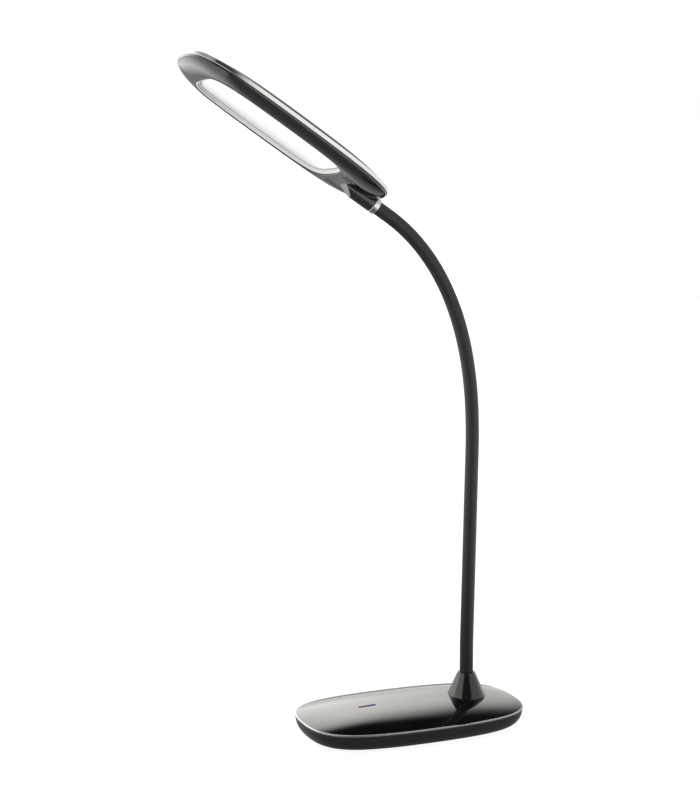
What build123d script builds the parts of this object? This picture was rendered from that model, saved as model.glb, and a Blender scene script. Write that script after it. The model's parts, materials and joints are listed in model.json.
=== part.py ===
from build123d import *
import os
from math import cos, degrees, pi, radians, sin, tan

# Gooseneck LED desk lamp. Millimetres, +Z up, origin on the table under the middle of the base.
# +X runs along the base towards its back, where the neck stands. The head reaches towards -X.
# The lamp is symmetric about the XZ plane, apart from its set screw, leads and board parts.

# ---- Base -------------------------------------------------------------------------------------
BASE_LENGTH = 183.0          # along X, over the trim ring
BASE_WIDTH = 106.0           # along Y, over the trim ring
BASE_FULLNESS = 0.79         # how square the base's outline is: 0.55 is an ellipse, 1 is boxy
FOOT_STANDOFF = 1.0          # how far the rubber pad lifts the shell off the table
PAD_MARGIN = 5.0             # from the edge of the flat bottom to the pad
PAD_RECESS = 0.8             # depth of the pocket that the pad is stuck into
PAD_CLEARANCE = 0.2
FIXING_END_INSET = 29.5      # from the base's ends to the case screws
FIXING_SIDE_INSET = 25.0     # and from its sides
FIXING_BOSS_RADIUS = 5.4
FIXING_WEB = 2.6             # plastic that a case screw's head pulls on
BASE_SHELL_HEIGHT = 12.4
BASE_SHELL_WALL = 2.2
BASE_SHELL_TUCK = 8.6        # how far the lower shell draws in towards its flat bottom
TRIM_RING_HEIGHT = 1.8
TRIM_RING_WALL = 1.6
BASE_COVER_STEP = 0.8        # the cover's rim stands in from the ring by this much
BASE_COVER_RISE = 6.4
BASE_COVER_WALL = 2.2
BASE_DOME_POWER = 3.0        # how late the dome falls away towards its rim
WEIGHT_THICKNESS = 7.0
WEIGHT_MARGIN = 6.0          # gap between the ballast and the shell's inner wall
WEIGHT_TO_NECK = 17.8        # from the ballast's back edge to the neck's axis, clear of its nut
WEIGHT_RIB_Y = (8.0, 26.0)   # ribs under the cover press on the ballast

# ---- Case and board screws ---------------------------------------------------------------------
CASE_SCREW_RADIUS = 1.4
CASE_SCREW_LENGTH = 10.0
SMALL_SCREW_RADIUS = 1.0
SCREW_HEAD_SHARE = 2.0       # a head's radius over its shank's
SCREW_CLEARANCE = 0.05       # between a shank and the plastic that it is driven into
THROUGH_CLEARANCE = 0.2      # between a shank and a hole that it only passes
CASE_POST_WALL = 2.2         # plastic round a case screw
SMALL_POST_WALL = 1.5        # plastic round a small screw
PILOT_DEPTH = 4.0            # of a small screw's hole

# ---- Touch slit and board ----------------------------------------------------------------------
SLIT_INSET = 54.9            # from the base's front end to the slit's middle
SLIT_LENGTH = 15.0
SLIT_WIDTH = 1.2
SLIT_CLEARANCE = 0.1
BOARD_LENGTH = 52.0
BOARD_WIDTH = 44.0
BOARD_THICKNESS = 1.6
BOARD_OFFSET = 4.6           # the board's middle lies this far behind the slit's
BOARD_SCREW_INSET = 4.0
BOARD_Z = 12.0
ELECTRODE_LENGTH = 24.0
ELECTRODE_WIDTH = 12.0
ELECTRODE_THICKNESS = 0.4
TOUCH_FLAT_DROP = 3.4        # the flat under the slit lies this far below the dome's crown
CHIP_SIZE = (8.0, 6.0, 1.2)
CHIP_PLACE = (2.0, 13.0)     # parts' places are from the board's middle
CHOKE_RADIUS = 3.4
CHOKE_HEIGHT = 2.6
CHOKE_PLACE = (12.0, -13.0)
CAPACITOR_SIZE = (6.0, 5.0, 1.5)
CAPACITOR_PLACE = (5.0, -13.5)
CONNECTOR_SIZE = (6.0, 10.0, 3.4)
CONNECTOR_PLACE = (22.0, 2.0)
INDICATOR_LED_SIZE = (3.2, 2.0, 1.4)

# ---- Power inlet -------------------------------------------------------------------------------
INLET_Z = 8.0
INLET_BODY_LENGTH = 13.0
INLET_BODY_WIDTH = 9.0
INLET_BODY_HEIGHT = 9.6
INLET_NOSE_RADIUS = 3.9
INLET_BORE_RADIUS = 2.8
INLET_BORE_DEPTH = 9.5
INLET_PIN_RADIUS = 1.0
INLET_MOUTH_RECESS = 3.5     # from the shell's widest point to the inlet's mouth
INLET_RIB_INSET = 3.0        # a rib under the cover presses on the inlet's body here
RIB_THICKNESS = 1.5

# ---- Neck --------------------------------------------------------------------------------------
NECK_INSET = 41.7            # from the base's back end to the neck's axis
SLEEVE_RADIUS = 5.35
CONDUIT_RADIUS = 3.3
CONDUIT_CLEARANCE = 0.1
COLLAR_HEIGHT = 17.9         # from the dome's crown
COLLAR_TOP_RADIUS = 7.0
COLLAR_FOOT_RADIUS = 15.0
COLLAR_FOOT_DROP = 0.8       # the cone starts this far below the dome's crown
COLLAR_CLEARANCE = 0.15      # between the collar's mouth and the sleeve
COLLAR_HOLLOW_RADIUS = 9.5
STUB_LENGTH = 24.0           # fixed sleeve between the collar and the first station
NECK_LEAN = 1.25             # degrees that the straight run leans back
STRAIGHT_LINKS = 4
STRAIGHT_LINK_LENGTH = 38.6
CURVED_LINKS = 6
CURVED_LINK_LENGTH = 34.5
FIRST_BEND = 4.4             # degrees that the first curved link turns
BEND_GROWTH = 2.1            # degrees more in each curved link after it
STATION_RANGE = 18.0         # degrees that the neck gives each way at a station
STATION_GAP = 0.3            # between two links, on the station's axis
HEAD_STUB_LENGTH = 12.0      # fixed sleeve between the last station and the ferrule ring

# ---- Neck fittings -----------------------------------------------------------------------------
LOWER_FERRULE_RADIUS = 4.8
LOWER_FERRULE_FLANGE = 8.4
LOWER_FERRULE_FLANGE_THICKNESS = 2.5
NUT_ACROSS_CORNERS = 15.0
NUT_THICKNESS = 3.5
WASHER_RADIUS = 8.5
WASHER_THICKNESS = 0.9
NECK_BOSS_RADIUS = 10.5
NECK_BOSS_HEIGHT = 5.0
SPOT_FACE_DROP = 2.6         # the boss's flat face lies this far below the dome's crown
UPPER_FERRULE_RADIUS = 4.5
RING_RADIUS = 6.3
RING_LENGTH = 4.6
SET_SCREW_RADIUS = 0.9
SET_SCREW_ANGLE = 45.0       # degrees below the side that faces -Y
LEAD_WIDTH = 2.4             # twin lead: two cores side by side
LEAD_THICKNESS = 1.2
LEAD_BEND = 1.5              # radius on the inside of a lead's bends
LEAD_SLOPE_RUN = 6.0         # run over which a lead climbs from one level to the next
LEAD_GAP = 1.2               # between the two leads, and over an edge that a lead passes

# ---- Head, in its own frame: +X towards the tip, +Z out of the top cover -----------------------
HEAD_LENGTH = 182.2
HEAD_WIDTH = 92.0
HEAD_FULLNESS = 0.84
BAND_HEIGHT = 3.1
BAND_WALL = 1.2
BAND_TOP_Z = 1.5
HEAD_EDGE_STEP = 0.5         # covers stand in from the band by this much
HEAD_COVER_RISE = 7.5
HEAD_COVER_WALL = 1.6
HEAD_DOME_POWER = 4.0
HEAD_SHELL_DEPTH = 7.0
HEAD_SHELL_WALL = 1.8
HEAD_TUCK_END = 19.6         # how far the shell draws in at its ends
HEAD_TUCK_SIDE = 9.6         # and at its sides
HEAD_FLAT_FULLNESS = 0.89    # outline of the shell's flat underside
OPENING_TIP_MARGIN = 21.6    # from the head's tip to the opening
OPENING_BACK_MARGIN = 41.8   # from the head's rear end to the opening
OPENING_SIDE_MARGIN = 10.5
OPENING_FULLNESS = 0.965
FRAME_CLEARANCE = 0.15
FRAME_WALL = 1.2
FRAME_FLANGE = 2.0
FRAME_SEAT = 3.1             # height of the seat round the opening that the flange bears on
FRAME_FLANGE_THICKNESS = 1.0
LENS_RECESS = 3.5            # from the shell's underside to the diffuser's face
LENS_THICKNESS = 1.8
LENS_FLANGE_THICKNESS = 1.0
LIGHT_BOX_DEPTH = 2.3
LIGHT_BOX_WALL = 1.7
LED_BOARD_THICKNESS = 1.2
LED_ROWS = 3
LED_ROW_GAP = 20.0
LEDS_IN_ROW = 12
LED_END_MARGIN = 11.0        # from the opening's ends to the last lamps
LED_SIZE = (3.5, 2.8, 0.7)
SPREADER_THICKNESS = 1.2
SPREADER_MARGIN = 3.0
HEAD_POST_X = 38.0           # screw posts, from the opening's middle
HEAD_POST_Y = 14.0
HEAD_POST_RADIUS = 2.6
HEAD_PILOT_DEPTH = 2.2
VENT_MARGIN = 4.8            # from the opening to the first vents
VENT_PITCH = 1.85
VENTS_IN_ROW = 10
VENT_ROWS_Y = (15.5, 21.0)
VENT_LENGTH = 1.1
VENT_WIDTH = 2.7

# ---- Neck socket under the head ----------------------------------------------------------------
SOCKET_Z = -8.1              # the neck's axis under the head's middle plane
SOCKET_INSET = 2.2           # from the head's rear end to where the ferrule ring starts
SOCKET_LENGTH = 27.6         # from there to where the fairing's sloped front leaves the underside
SOCKET_RAMP_ANGLE = 30.0
FERRULE_GRIP = 18.8          # length of the upper ferrule inside the fairing
CRADLE_TOP_Z = -5.0
CLAMP_INSET = 7.2            # from the ferrule ring to the clamp
CLAMP_LENGTH = 11.2
CLAMP_HALF_WIDTH = 11.0
CLAMP_TOP_Z = -1.7
CLAMP_SCREW_Y = 8.4
CLAMP_SCREW_INSET = 3.0

BIG = 400.0                  # reach of cutting tools that pass right through


# ---- Shared shapes -----------------------------------------------------------------------------
def outline(half_length, half_width, fullness, z=0.0, x_shift=0.0):
    """Flat rounded face at height z: four curves, each from one axis to the next."""
    quarters = []
    for x, y in ((half_length, half_width), (-half_length, half_width),
                 (-half_length, -half_width), (half_length, -half_width)):
        end_side = [(x, 0), (x, y * fullness), (x * fullness, y), (0, y)]
        if x * y < 0:
            end_side.reverse()
        quarters.append(Bezier(*[(x_shift + px, py, z) for px, py in end_side]))
    return make_face(quarters)


def plate(half_length, half_width, fullness, low, high, x_shift=0.0):
    """Upright prism of a rounded outline between two heights."""
    face = outline(half_length, half_width, fullness, low, x_shift)
    return extrude(face, amount=high - low, dir=(0, 0, 1))


def dome(half_length, half_width, fullness, rim_z, rise, power):
    """Shallow crown: its height falls from the middle with the given power of the way to the rim."""
    sections = []
    for share in (1.0, 0.93, 0.82, 0.6, 0.25):
        height = rim_z + rise * (1 - share**power)
        sections.append(outline(half_length * share, half_width * share, fullness, height))
    return loft(sections)


def bowl(half_length, half_width, fullness_range, rim_z, depth, tuck_end, tuck_side):
    """Bowl that draws in from its rim to a flat bottom along a quarter ellipse."""
    last_turn = 80
    sections = []
    for turn in (0, 22, 44, 64, last_turn):
        inward = (1 - cos(radians(turn))) / (1 - cos(radians(last_turn)))
        down = sin(radians(turn)) / sin(radians(last_turn))
        fullness = fullness_range[0] + (fullness_range[1] - fullness_range[0]) * inward
        sections.append(outline(half_length - tuck_end * inward, half_width - tuck_side * inward,
                                fullness, rim_z - depth * down))
    return loft(sections)


def rod(radius, low, high, x=0.0, y=0.0):
    """Upright cylinder between two heights."""
    return Pos(x, y, (low + high) / 2) * Cylinder(radius, high - low)


def rod_x(radius, back, front, y=0.0, z=0.0):
    """Cylinder along X between two stations."""
    return Pos((back + front) / 2, y, z) * Rot(0, 90, 0) * Cylinder(radius, front - back)


def block(x_range, y_range, z_range):
    """Box between stated limits."""
    middle = [(low + high) / 2 for low, high in (x_range, y_range, z_range)]
    size = [high - low for low, high in (x_range, y_range, z_range)]
    return Pos(*middle) * Box(*size)


def corners(half_x, half_y):
    """The four places at +-X, +-Y."""
    return [(half_x, half_y), (half_x, -half_y), (-half_x, half_y), (-half_x, -half_y)]


def screw(shank_radius, head_low, head_high, tip):
    """Pan-head screw that points up: its head, then its shank."""
    return rod(shank_radius * SCREW_HEAD_SHARE, head_low, head_high) + rod(shank_radius, head_high, tip)


def twin_lead(points, y, bend_radius):
    """Flat twin lead along straight runs in an XZ plane, joined by bends."""
    route = FilletPolyline(*[(x, y, z) for x, z in points], radius=bend_radius)
    start = Plane(origin=route @ 0, x_dir=(0, 1, 0), z_dir=route % 0)
    return sweep(start * Rectangle(LEAD_WIDTH, LEAD_THICKNESS), path=route)


def export(name, shape):
    """Write one sub-part."""
    shape.label = name
    export_step(shape, os.path.join("parts", name + ".step"))


# ---- Levels and outlines that several pieces share ----------------------------------------------
shell_bottom = FOOT_STANDOFF
shell_floor = shell_bottom + BASE_SHELL_WALL
ring_bottom = shell_bottom + BASE_SHELL_HEIGHT
cover_rim = ring_bottom + TRIM_RING_HEIGHT
crown = cover_rim + BASE_COVER_RISE
cover_half_length = BASE_LENGTH / 2 - BASE_COVER_STEP
cover_half_width = BASE_WIDTH / 2 - BASE_COVER_STEP
shell_half_length = BASE_LENGTH / 2 - BASE_COVER_STEP / 2
shell_half_width = BASE_WIDTH / 2 - BASE_COVER_STEP / 2
fixing_x = BASE_LENGTH / 2 - FIXING_END_INSET
fixing_y = BASE_WIDTH / 2 - FIXING_SIDE_INSET
neck_x = BASE_LENGTH / 2 - NECK_INSET
slit_x = SLIT_INSET - BASE_LENGTH / 2
board_x = slit_x + BOARD_OFFSET
board_back = board_x + BOARD_LENGTH / 2
board_screw_x = BOARD_LENGTH / 2 - BOARD_SCREW_INSET
board_screw_y = BOARD_WIDTH / 2 - BOARD_SCREW_INSET
weight_back_x = neck_x - WEIGHT_TO_NECK
weight_rib_x = (board_back + weight_back_x - RIB_THICKNESS) / 2
pad_top = shell_bottom + PAD_RECESS
pad_inset = BASE_SHELL_TUCK + PAD_MARGIN
pad_half = (shell_half_length - pad_inset, shell_half_width - pad_inset)
screw_seat = pad_top + CASE_SCREW_RADIUS * 1.3
post_bottom = screw_seat + FIXING_WEB
weight_top = shell_floor + WEIGHT_THICKNESS
touch_flat = crown - TOUCH_FLAT_DROP
electrode_bottom = touch_flat - ELECTRODE_THICKNESS
inlet_front_x = shell_half_length - BASE_SHELL_WALL - BASE_SHELL_TUCK - THROUGH_CLEARANCE
inlet_back_x = inlet_front_x - INLET_BODY_LENGTH
inlet_mouth_x = shell_half_length - INLET_MOUTH_RECESS
inlet_top = shell_floor + INLET_BODY_HEIGHT
board_top = BOARD_Z + BOARD_THICKNESS
spot_face = crown - SPOT_FACE_DROP
boss_bottom = spot_face - NECK_BOSS_HEIGHT
collar_top = crown + COLLAR_HEIGHT


def base_dome(shrink=0.0):
    """The base cover's outer form, or its hollow when shrunk by the wall."""
    return dome(cover_half_length - shrink, cover_half_width - shrink, BASE_FULLNESS, cover_rim,
                BASE_COVER_RISE - shrink, BASE_DOME_POWER)


# ---- Base --------------------------------------------------------------------------------------
def make_base_top_cover():
    """Domed gloss cover with the neck's boss, screw posts, hold-down ribs, touch flat and slit."""
    outer = base_dome()
    skirt_outer = TRIM_RING_WALL + THROUGH_CLEARANCE
    skirt_inner = BASE_COVER_STEP + BASE_COVER_WALL
    skirt = plate(BASE_LENGTH / 2 - skirt_outer, BASE_WIDTH / 2 - skirt_outer, BASE_FULLNESS,
                  ring_bottom + THROUGH_CLEARANCE, cover_rim)
    skirt -= plate(BASE_LENGTH / 2 - skirt_inner, BASE_WIDTH / 2 - skirt_inner, BASE_FULLNESS,
                   ring_bottom, cover_rim)
    inside = [rod(NECK_BOSS_RADIUS, boss_bottom, crown, neck_x)]
    for x, y in corners(fixing_x, fixing_y):
        inside.append(rod(CASE_SCREW_RADIUS + CASE_POST_WALL, post_bottom, crown, x, y))
    for x, y in corners(board_screw_x, board_screw_y):
        inside.append(rod(SMALL_SCREW_RADIUS + SMALL_POST_WALL, board_top, crown, board_x + x, y))
    half = (ELECTRODE_LENGTH / 2 + 1, ELECTRODE_WIDTH / 2 + 1)
    inside.append(block((slit_x - half[0], slit_x + half[0]), (-half[1], half[1]), (touch_flat, crown)))
    for side in (-1, 1):
        inside.append(block((weight_rib_x, weight_rib_x + RIB_THICKNESS),
                            sorted(side * y for y in WEIGHT_RIB_Y), (weight_top, crown)))
    inlet_rib_x = inlet_back_x + INLET_RIB_INSET
    inside.append(block((inlet_rib_x, inlet_rib_x + RIB_THICKNESS), (-3, 3), (inlet_top, crown)))
    below = plate(cover_half_length, cover_half_width, BASE_FULLNESS, shell_floor, cover_rim)
    envelope = outer + below
    cover = outer - base_dome(BASE_COVER_WALL)
    cover += [piece & envelope for piece in inside]
    cover += skirt
    cuts = [rod(LOWER_FERRULE_FLANGE + 0.3, spot_face, crown + 1, neck_x),
            rod(LOWER_FERRULE_RADIUS + THROUGH_CLEARANCE, boss_bottom - 1, crown, neck_x),
            block((slit_x - SLIT_LENGTH / 2, slit_x + SLIT_LENGTH / 2),
                  (-SLIT_WIDTH / 2, SLIT_WIDTH / 2), (touch_flat - 1, crown + 1))]
    for x, y in corners(fixing_x, fixing_y):
        cuts.append(rod(CASE_SCREW_RADIUS + SCREW_CLEARANCE, post_bottom - 1,
                        screw_seat + CASE_SCREW_LENGTH + 0.5, x, y))
    for x, y in corners(board_screw_x, board_screw_y):
        cuts.append(rod(SMALL_SCREW_RADIUS + SCREW_CLEARANCE, board_top - 1, board_top + PILOT_DEPTH,
                        board_x + x, y))
    return cover - cuts


def make_base_trim_ring():
    """Bright ring clamped between the cover and the lower shell."""
    ring = plate(BASE_LENGTH / 2, BASE_WIDTH / 2, BASE_FULLNESS, ring_bottom, cover_rim)
    ring -= plate(BASE_LENGTH / 2 - TRIM_RING_WALL, BASE_WIDTH / 2 - TRIM_RING_WALL, BASE_FULLNESS,
                  ring_bottom - 1, cover_rim + 1)
    return ring


def make_base_lower_shell():
    """Bowl under the base, with the pad's pocket, screw bosses, jack cradle and the inlet's hole."""
    fullness = (BASE_FULLNESS, BASE_FULLNESS)
    shell = bowl(shell_half_length, shell_half_width, fullness, ring_bottom, BASE_SHELL_HEIGHT,
                 BASE_SHELL_TUCK, BASE_SHELL_TUCK)
    shell -= bowl(shell_half_length - BASE_SHELL_WALL, shell_half_width - BASE_SHELL_WALL, fullness,
                  ring_bottom, BASE_SHELL_HEIGHT - BASE_SHELL_WALL, BASE_SHELL_TUCK, BASE_SHELL_TUCK)
    bosses = [rod(FIXING_BOSS_RADIUS, shell_floor - 0.5, post_bottom, x, y)
              for x, y in corners(fixing_x, fixing_y)]
    for side in (-1, 1):
        near = INLET_BODY_WIDTH / 2 + PAD_CLEARANCE
        cheek = sorted((side * near, side * (near + RIB_THICKNESS)))
        bosses.append(block((inlet_back_x, inlet_front_x - 3), cheek, (shell_floor - 0.5, INLET_Z)))
    shell += bosses
    cuts = [plate(pad_half[0] + PAD_CLEARANCE, pad_half[1] + PAD_CLEARANCE, BASE_FULLNESS, 0, pad_top),
            rod_x(INLET_NOSE_RADIUS + THROUGH_CLEARANCE, inlet_front_x - 3, BASE_LENGTH, 0, INLET_Z)]
    for x, y in corners(fixing_x, fixing_y):
        cuts.append(rod(CASE_SCREW_RADIUS * SCREW_HEAD_SHARE + THROUGH_CLEARANCE, 0, screw_seat, x, y))
        cuts.append(rod(CASE_SCREW_RADIUS + THROUGH_CLEARANCE, 0, post_bottom + 1, x, y))
    return shell - cuts


def make_base_weight():
    """Cast ballast plate that keeps the lamp standing under its overhanging head."""
    inset = BASE_SHELL_WALL + BASE_SHELL_TUCK + WEIGHT_MARGIN
    weight = plate(shell_half_length - inset, shell_half_width - inset, BASE_FULLNESS,
                   shell_floor, weight_top)
    weight &= block((-BIG, weight_back_x), (-BIG, BIG), (0, BIG))
    bosses = corners(fixing_x, fixing_y)
    return weight - [rod(FIXING_BOSS_RADIUS + 2 * THROUGH_CLEARANCE, 0, crown, x, y) for x, y in bosses]


def make_rubber_pad():
    """Non-slip pad that covers the screws. The lamp stands on its lower face."""
    return plate(*pad_half, BASE_FULLNESS, 0, pad_top)


def make_base_screws():
    """Four case screws, driven up through the shell into the cover's posts."""
    head_low = screw_seat - CASE_SCREW_RADIUS
    one = screw(CASE_SCREW_RADIUS, head_low, screw_seat, screw_seat + CASE_SCREW_LENGTH)
    return [Pos(x, y, 0) * one for x, y in corners(fixing_x, fixing_y)]


def make_control_board():
    """Dimmer board, hung under the cover on four posts."""
    board = block((board_back - BOARD_LENGTH, board_back), (-BOARD_WIDTH / 2, BOARD_WIDTH / 2),
                  (BOARD_Z, board_top))
    return board - [rod(SMALL_SCREW_RADIUS + THROUGH_CLEARANCE, 0, crown, board_x + x, y)
                    for x, y in corners(board_screw_x, board_screw_y)]


def make_board_screws():
    """Four small screws that hold the board."""
    one = screw(SMALL_SCREW_RADIUS, BOARD_Z - SMALL_SCREW_RADIUS, BOARD_Z, board_top + PILOT_DEPTH - 0.5)
    return [Pos(board_x + x, y, 0) * one for x, y in corners(board_screw_x, board_screw_y)]


def make_board_parts():
    """Controller, choke, capacitor and lead connector on the board."""
    parts = [rod(CHOKE_RADIUS, board_top, board_top + CHOKE_HEIGHT, board_x + CHOKE_PLACE[0],
                 CHOKE_PLACE[1])]
    for (length, width, height), (x, y) in ((CHIP_SIZE, CHIP_PLACE), (CAPACITOR_SIZE, CAPACITOR_PLACE),
                                            (CONNECTOR_SIZE, CONNECTOR_PLACE)):
        parts.append(Pos(board_x + x, y, board_top + height / 2) * Box(length, width, height))
    return parts


def make_touch_electrode():
    """Sprung brass plate stuck under the pad, with a slot for the light pipe and a leg to the board."""
    half = (ELECTRODE_LENGTH / 2, ELECTRODE_WIDTH / 2)
    sheet = block((slit_x - half[0], slit_x + half[0]), (-half[1], half[1]),
                  (electrode_bottom, touch_flat))
    sheet -= block((slit_x - SLIT_LENGTH / 2 - 0.5, slit_x + SLIT_LENGTH / 2 + 0.5),
                   (-SLIT_WIDTH / 2 - 0.5, SLIT_WIDTH / 2 + 0.5), (electrode_bottom - 1, touch_flat + 1))
    leg = block((slit_x - half[0], slit_x - half[0] + ELECTRODE_THICKNESS), (-3, 3),
                (board_top, electrode_bottom))
    return sheet + leg


def make_indicator_light_pipe():
    """Clear blade that fills the slit flush with the dome and spreads over the two lamps below."""
    half = (SLIT_LENGTH / 2 - SLIT_CLEARANCE, SLIT_WIDTH / 2 - SLIT_CLEARANCE)
    pipe = block((slit_x - half[0], slit_x + half[0]), (-half[1], half[1]), (board_top + 2.0, crown + 1))
    pipe &= base_dome() + plate(cover_half_length, cover_half_width, BASE_FULLNESS, board_top, cover_rim)
    pipe += block((slit_x - half[0] - 1.2, slit_x + half[0] + 1.2), (-1.8, 1.8),
                  (electrode_bottom - 1.2, electrode_bottom))
    return pipe


def make_indicator_leds():
    """Red and blue lamps under the two ends of the slit."""
    one = Pos(0, 0, board_top + INDICATOR_LED_SIZE[2] / 2) * Box(*INDICATOR_LED_SIZE)
    return [Pos(slit_x + side * SLIT_LENGTH / 4, 0, 0) * one for side in (-1, 1)]


def make_dc_jack():
    """Round low-voltage inlet at the back: its body, nose, bore and contact pin."""
    bottom_of_bore = inlet_mouth_x - INLET_BORE_DEPTH
    jack = block((inlet_back_x, inlet_front_x), (-INLET_BODY_WIDTH / 2, INLET_BODY_WIDTH / 2),
                 (shell_floor, inlet_top))
    jack += rod_x(INLET_NOSE_RADIUS, inlet_front_x - 1, inlet_mouth_x, 0, INLET_Z)
    jack -= rod_x(INLET_BORE_RADIUS, bottom_of_bore, inlet_mouth_x + 1, 0, INLET_Z)
    return jack + rod_x(INLET_PIN_RADIUS, bottom_of_bore - 1, inlet_mouth_x - 1, 0, INLET_Z)


def make_base_leads():
    """Twin leads from the neck and from the inlet, over the ballast to the board's connector."""
    low = shell_floor + 0.3 + LEAD_THICKNESS / 2
    over = weight_top + 0.3 + LEAD_THICKNESS / 2
    plug_x = board_x + CONNECTOR_PLACE[0] + CONNECTOR_SIZE[0] / 2
    plug_z = board_top + CONNECTOR_SIZE[2] / 2
    climb = weight_back_x + 1
    step = board_back + LEAD_SLOPE_RUN + 2
    rise = [(climb + LEAD_SLOPE_RUN - 1, low), (climb, over), (step + LEAD_SLOPE_RUN, over),
            (step, plug_z), (plug_x, plug_z)]
    from_neck = twin_lead([(neck_x, lower_end), (neck_x, low), *rise], 0, LEAD_BEND)
    from_inlet = twin_lead([(inlet_back_x, low), *rise], LEAD_WIDTH + LEAD_GAP, LEAD_BEND)
    return [from_neck, from_inlet]


# ---- Neck --------------------------------------------------------------------------------------
lower_end = boss_bottom - WASHER_THICKNESS - NUT_THICKNESS - 1.5
ferrule_top = collar_top - 8.0
bore_radius = CONDUIT_RADIUS + CONDUIT_CLEARANCE
sleeve_foot = ferrule_top + THROUGH_CLEARANCE


def station_frame(x, z, heading):
    """Frame at a point of the neck: Z along the neck, Y across the lamp."""
    return Plane(origin=(x, 0, z), x_dir=(sin(heading), 0, -cos(heading)),
                 z_dir=(cos(heading), 0, sin(heading)))


def neck_stations():
    """Points and headings where one link ends and the next begins, and the bend of each link."""
    x, z = neck_x, collar_top + STUB_LENGTH
    heading = radians(90 - NECK_LEAN)
    stations, bends = [(x, z, heading)], []
    for number in range(STRAIGHT_LINKS):
        x += STRAIGHT_LINK_LENGTH * cos(heading)
        z += STRAIGHT_LINK_LENGTH * sin(heading)
        stations.append((x, z, heading))
        bends.append(0.0)
    for number in range(CURVED_LINKS):
        bend = radians(FIRST_BEND + BEND_GROWTH * number)
        radius = CURVED_LINK_LENGTH / bend
        x += radius * (sin(heading + bend) - sin(heading))
        z += radius * (cos(heading) - cos(heading + bend))
        heading += bend
        stations.append((x, z, heading))
        bends.append(bend)
    return stations, bends


stations, bends = neck_stations()
end_x, end_z, end_heading = stations[-1]


def wedge(station, number, upper):
    """What is cut from a link at a station, so that the neck can give there.

    Odd stations nod about Y, even ones sway. The cut leaves a roof with its ridge on the axis."""
    reach = 3 * SLEEVE_RADIUS
    slope = reach * tan(radians(STATION_RANGE / 2))
    near = STATION_GAP / 2
    side = 1 if upper else -1
    outline = Polyline((-reach, side * (near + slope)), (0, side * near), (reach, side * (near + slope)),
                       (reach, -side * reach), (-reach, -side * reach), close=True)
    tool = extrude(Plane.XZ * make_face(outline), amount=reach, both=True)
    if number % 2 == 0:
        tool = Rot(0, 0, 90) * tool
    return station_frame(*station).location * tool


def link_body(index, radius, straight):
    """Full round bar of a link, from station to station, along its bend or straight across it."""
    (x0, z0, h0), (x1, z1, _) = stations[index], stations[index + 1]
    bend = bends[index]
    start = Vector(x0, 0, z0)
    finish = Vector(x1, 0, z1)
    if straight or bend == 0:
        path = Line(start, finish)
    else:
        turn_radius = CURVED_LINK_LENGTH / bend
        half = h0 + bend / 2
        middle = Vector(x0 + turn_radius * (sin(half) - sin(h0)), 0,
                        z0 + turn_radius * (cos(h0) - cos(half)))
        path = ThreePointArc(start, middle, finish)
    section = Plane(origin=start, x_dir=(0, 1, 0), z_dir=path % 0) * Circle(radius)
    return sweep(section, path=path)


def overshoot(index, radius):
    """The straight bar of a link, run a little past both stations, so that it cuts cleanly."""
    (x0, z0, _), (x1, z1, _) = stations[index], stations[index + 1]
    start, finish = Vector(x0, 0, z0), Vector(x1, 0, z1)
    along = (finish - start).normalized()
    length = (finish - start).length + 2 * SLEEVE_RADIUS
    place = Plane(origin=start - along * SLEEVE_RADIUS, x_dir=(0, 1, 0), z_dir=along)
    return place.location * Pos(0, 0, length / 2) * Cylinder(radius, length)


def make_sleeve_link(index):
    """Rubber sleeve of one link."""
    sleeve = link_body(index, SLEEVE_RADIUS, False) - overshoot(index, bore_radius)
    sleeve -= wedge(stations[index], index + 1, True)
    sleeve -= wedge(stations[index + 1], index + 2, False)
    return sleeve


def make_conduit_link(index):
    """Steel conduit of one link."""
    conduit = link_body(index, CONDUIT_RADIUS, True)
    conduit -= wedge(stations[index], index + 1, True)
    conduit -= wedge(stations[index + 1], index + 2, False)
    return conduit


def make_sleeve_base():
    """Sleeve that stands in the collar's mouth, up to the first station."""
    x, z, _ = stations[0]
    sleeve = rod(SLEEVE_RADIUS, sleeve_foot, z, neck_x)
    sleeve -= rod(bore_radius, sleeve_foot - 1, z + 1, neck_x)
    return sleeve - wedge(stations[0], 1, False)


def make_conduit_base():
    """Conduit held in the lower ferrule, up to the first station."""
    return rod(CONDUIT_RADIUS, lower_end, stations[0][1], neck_x) - wedge(stations[0], 1, False)


def make_neck_collar():
    """Gloss cone that hides the neck's fixing. Its foot follows the dome."""
    foot_z = cover_rim
    slope_z = crown - COLLAR_FOOT_DROP
    collar = rod(COLLAR_FOOT_RADIUS, foot_z, slope_z, neck_x)
    height = collar_top - slope_z
    collar += Pos(neck_x, 0, slope_z + height / 2) * Cone(COLLAR_FOOT_RADIUS, COLLAR_TOP_RADIUS, height)
    collar -= base_dome()
    collar -= rod(COLLAR_HOLLOW_RADIUS, foot_z - 1, ferrule_top - 4, neck_x)
    collar -= rod(SLEEVE_RADIUS + COLLAR_CLEARANCE, foot_z, collar_top + 1, neck_x)
    return collar


def make_neck_lower_ferrule():
    """Threaded steel tube that the conduit is crimped into. Its flange bears on the cover's boss."""
    ferrule = rod(LOWER_FERRULE_RADIUS, lower_end, ferrule_top, neck_x)
    ferrule += rod(LOWER_FERRULE_FLANGE, spot_face, spot_face + LOWER_FERRULE_FLANGE_THICKNESS, neck_x)
    return ferrule - rod(bore_radius, lower_end - 1, ferrule_top + 1, neck_x)


def make_neck_lock_washer():
    """Washer under the boss."""
    washer = rod(WASHER_RADIUS, boss_bottom - WASHER_THICKNESS, boss_bottom, neck_x)
    return washer - rod(LOWER_FERRULE_RADIUS + THROUGH_CLEARANCE, 0, crown, neck_x)


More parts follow.
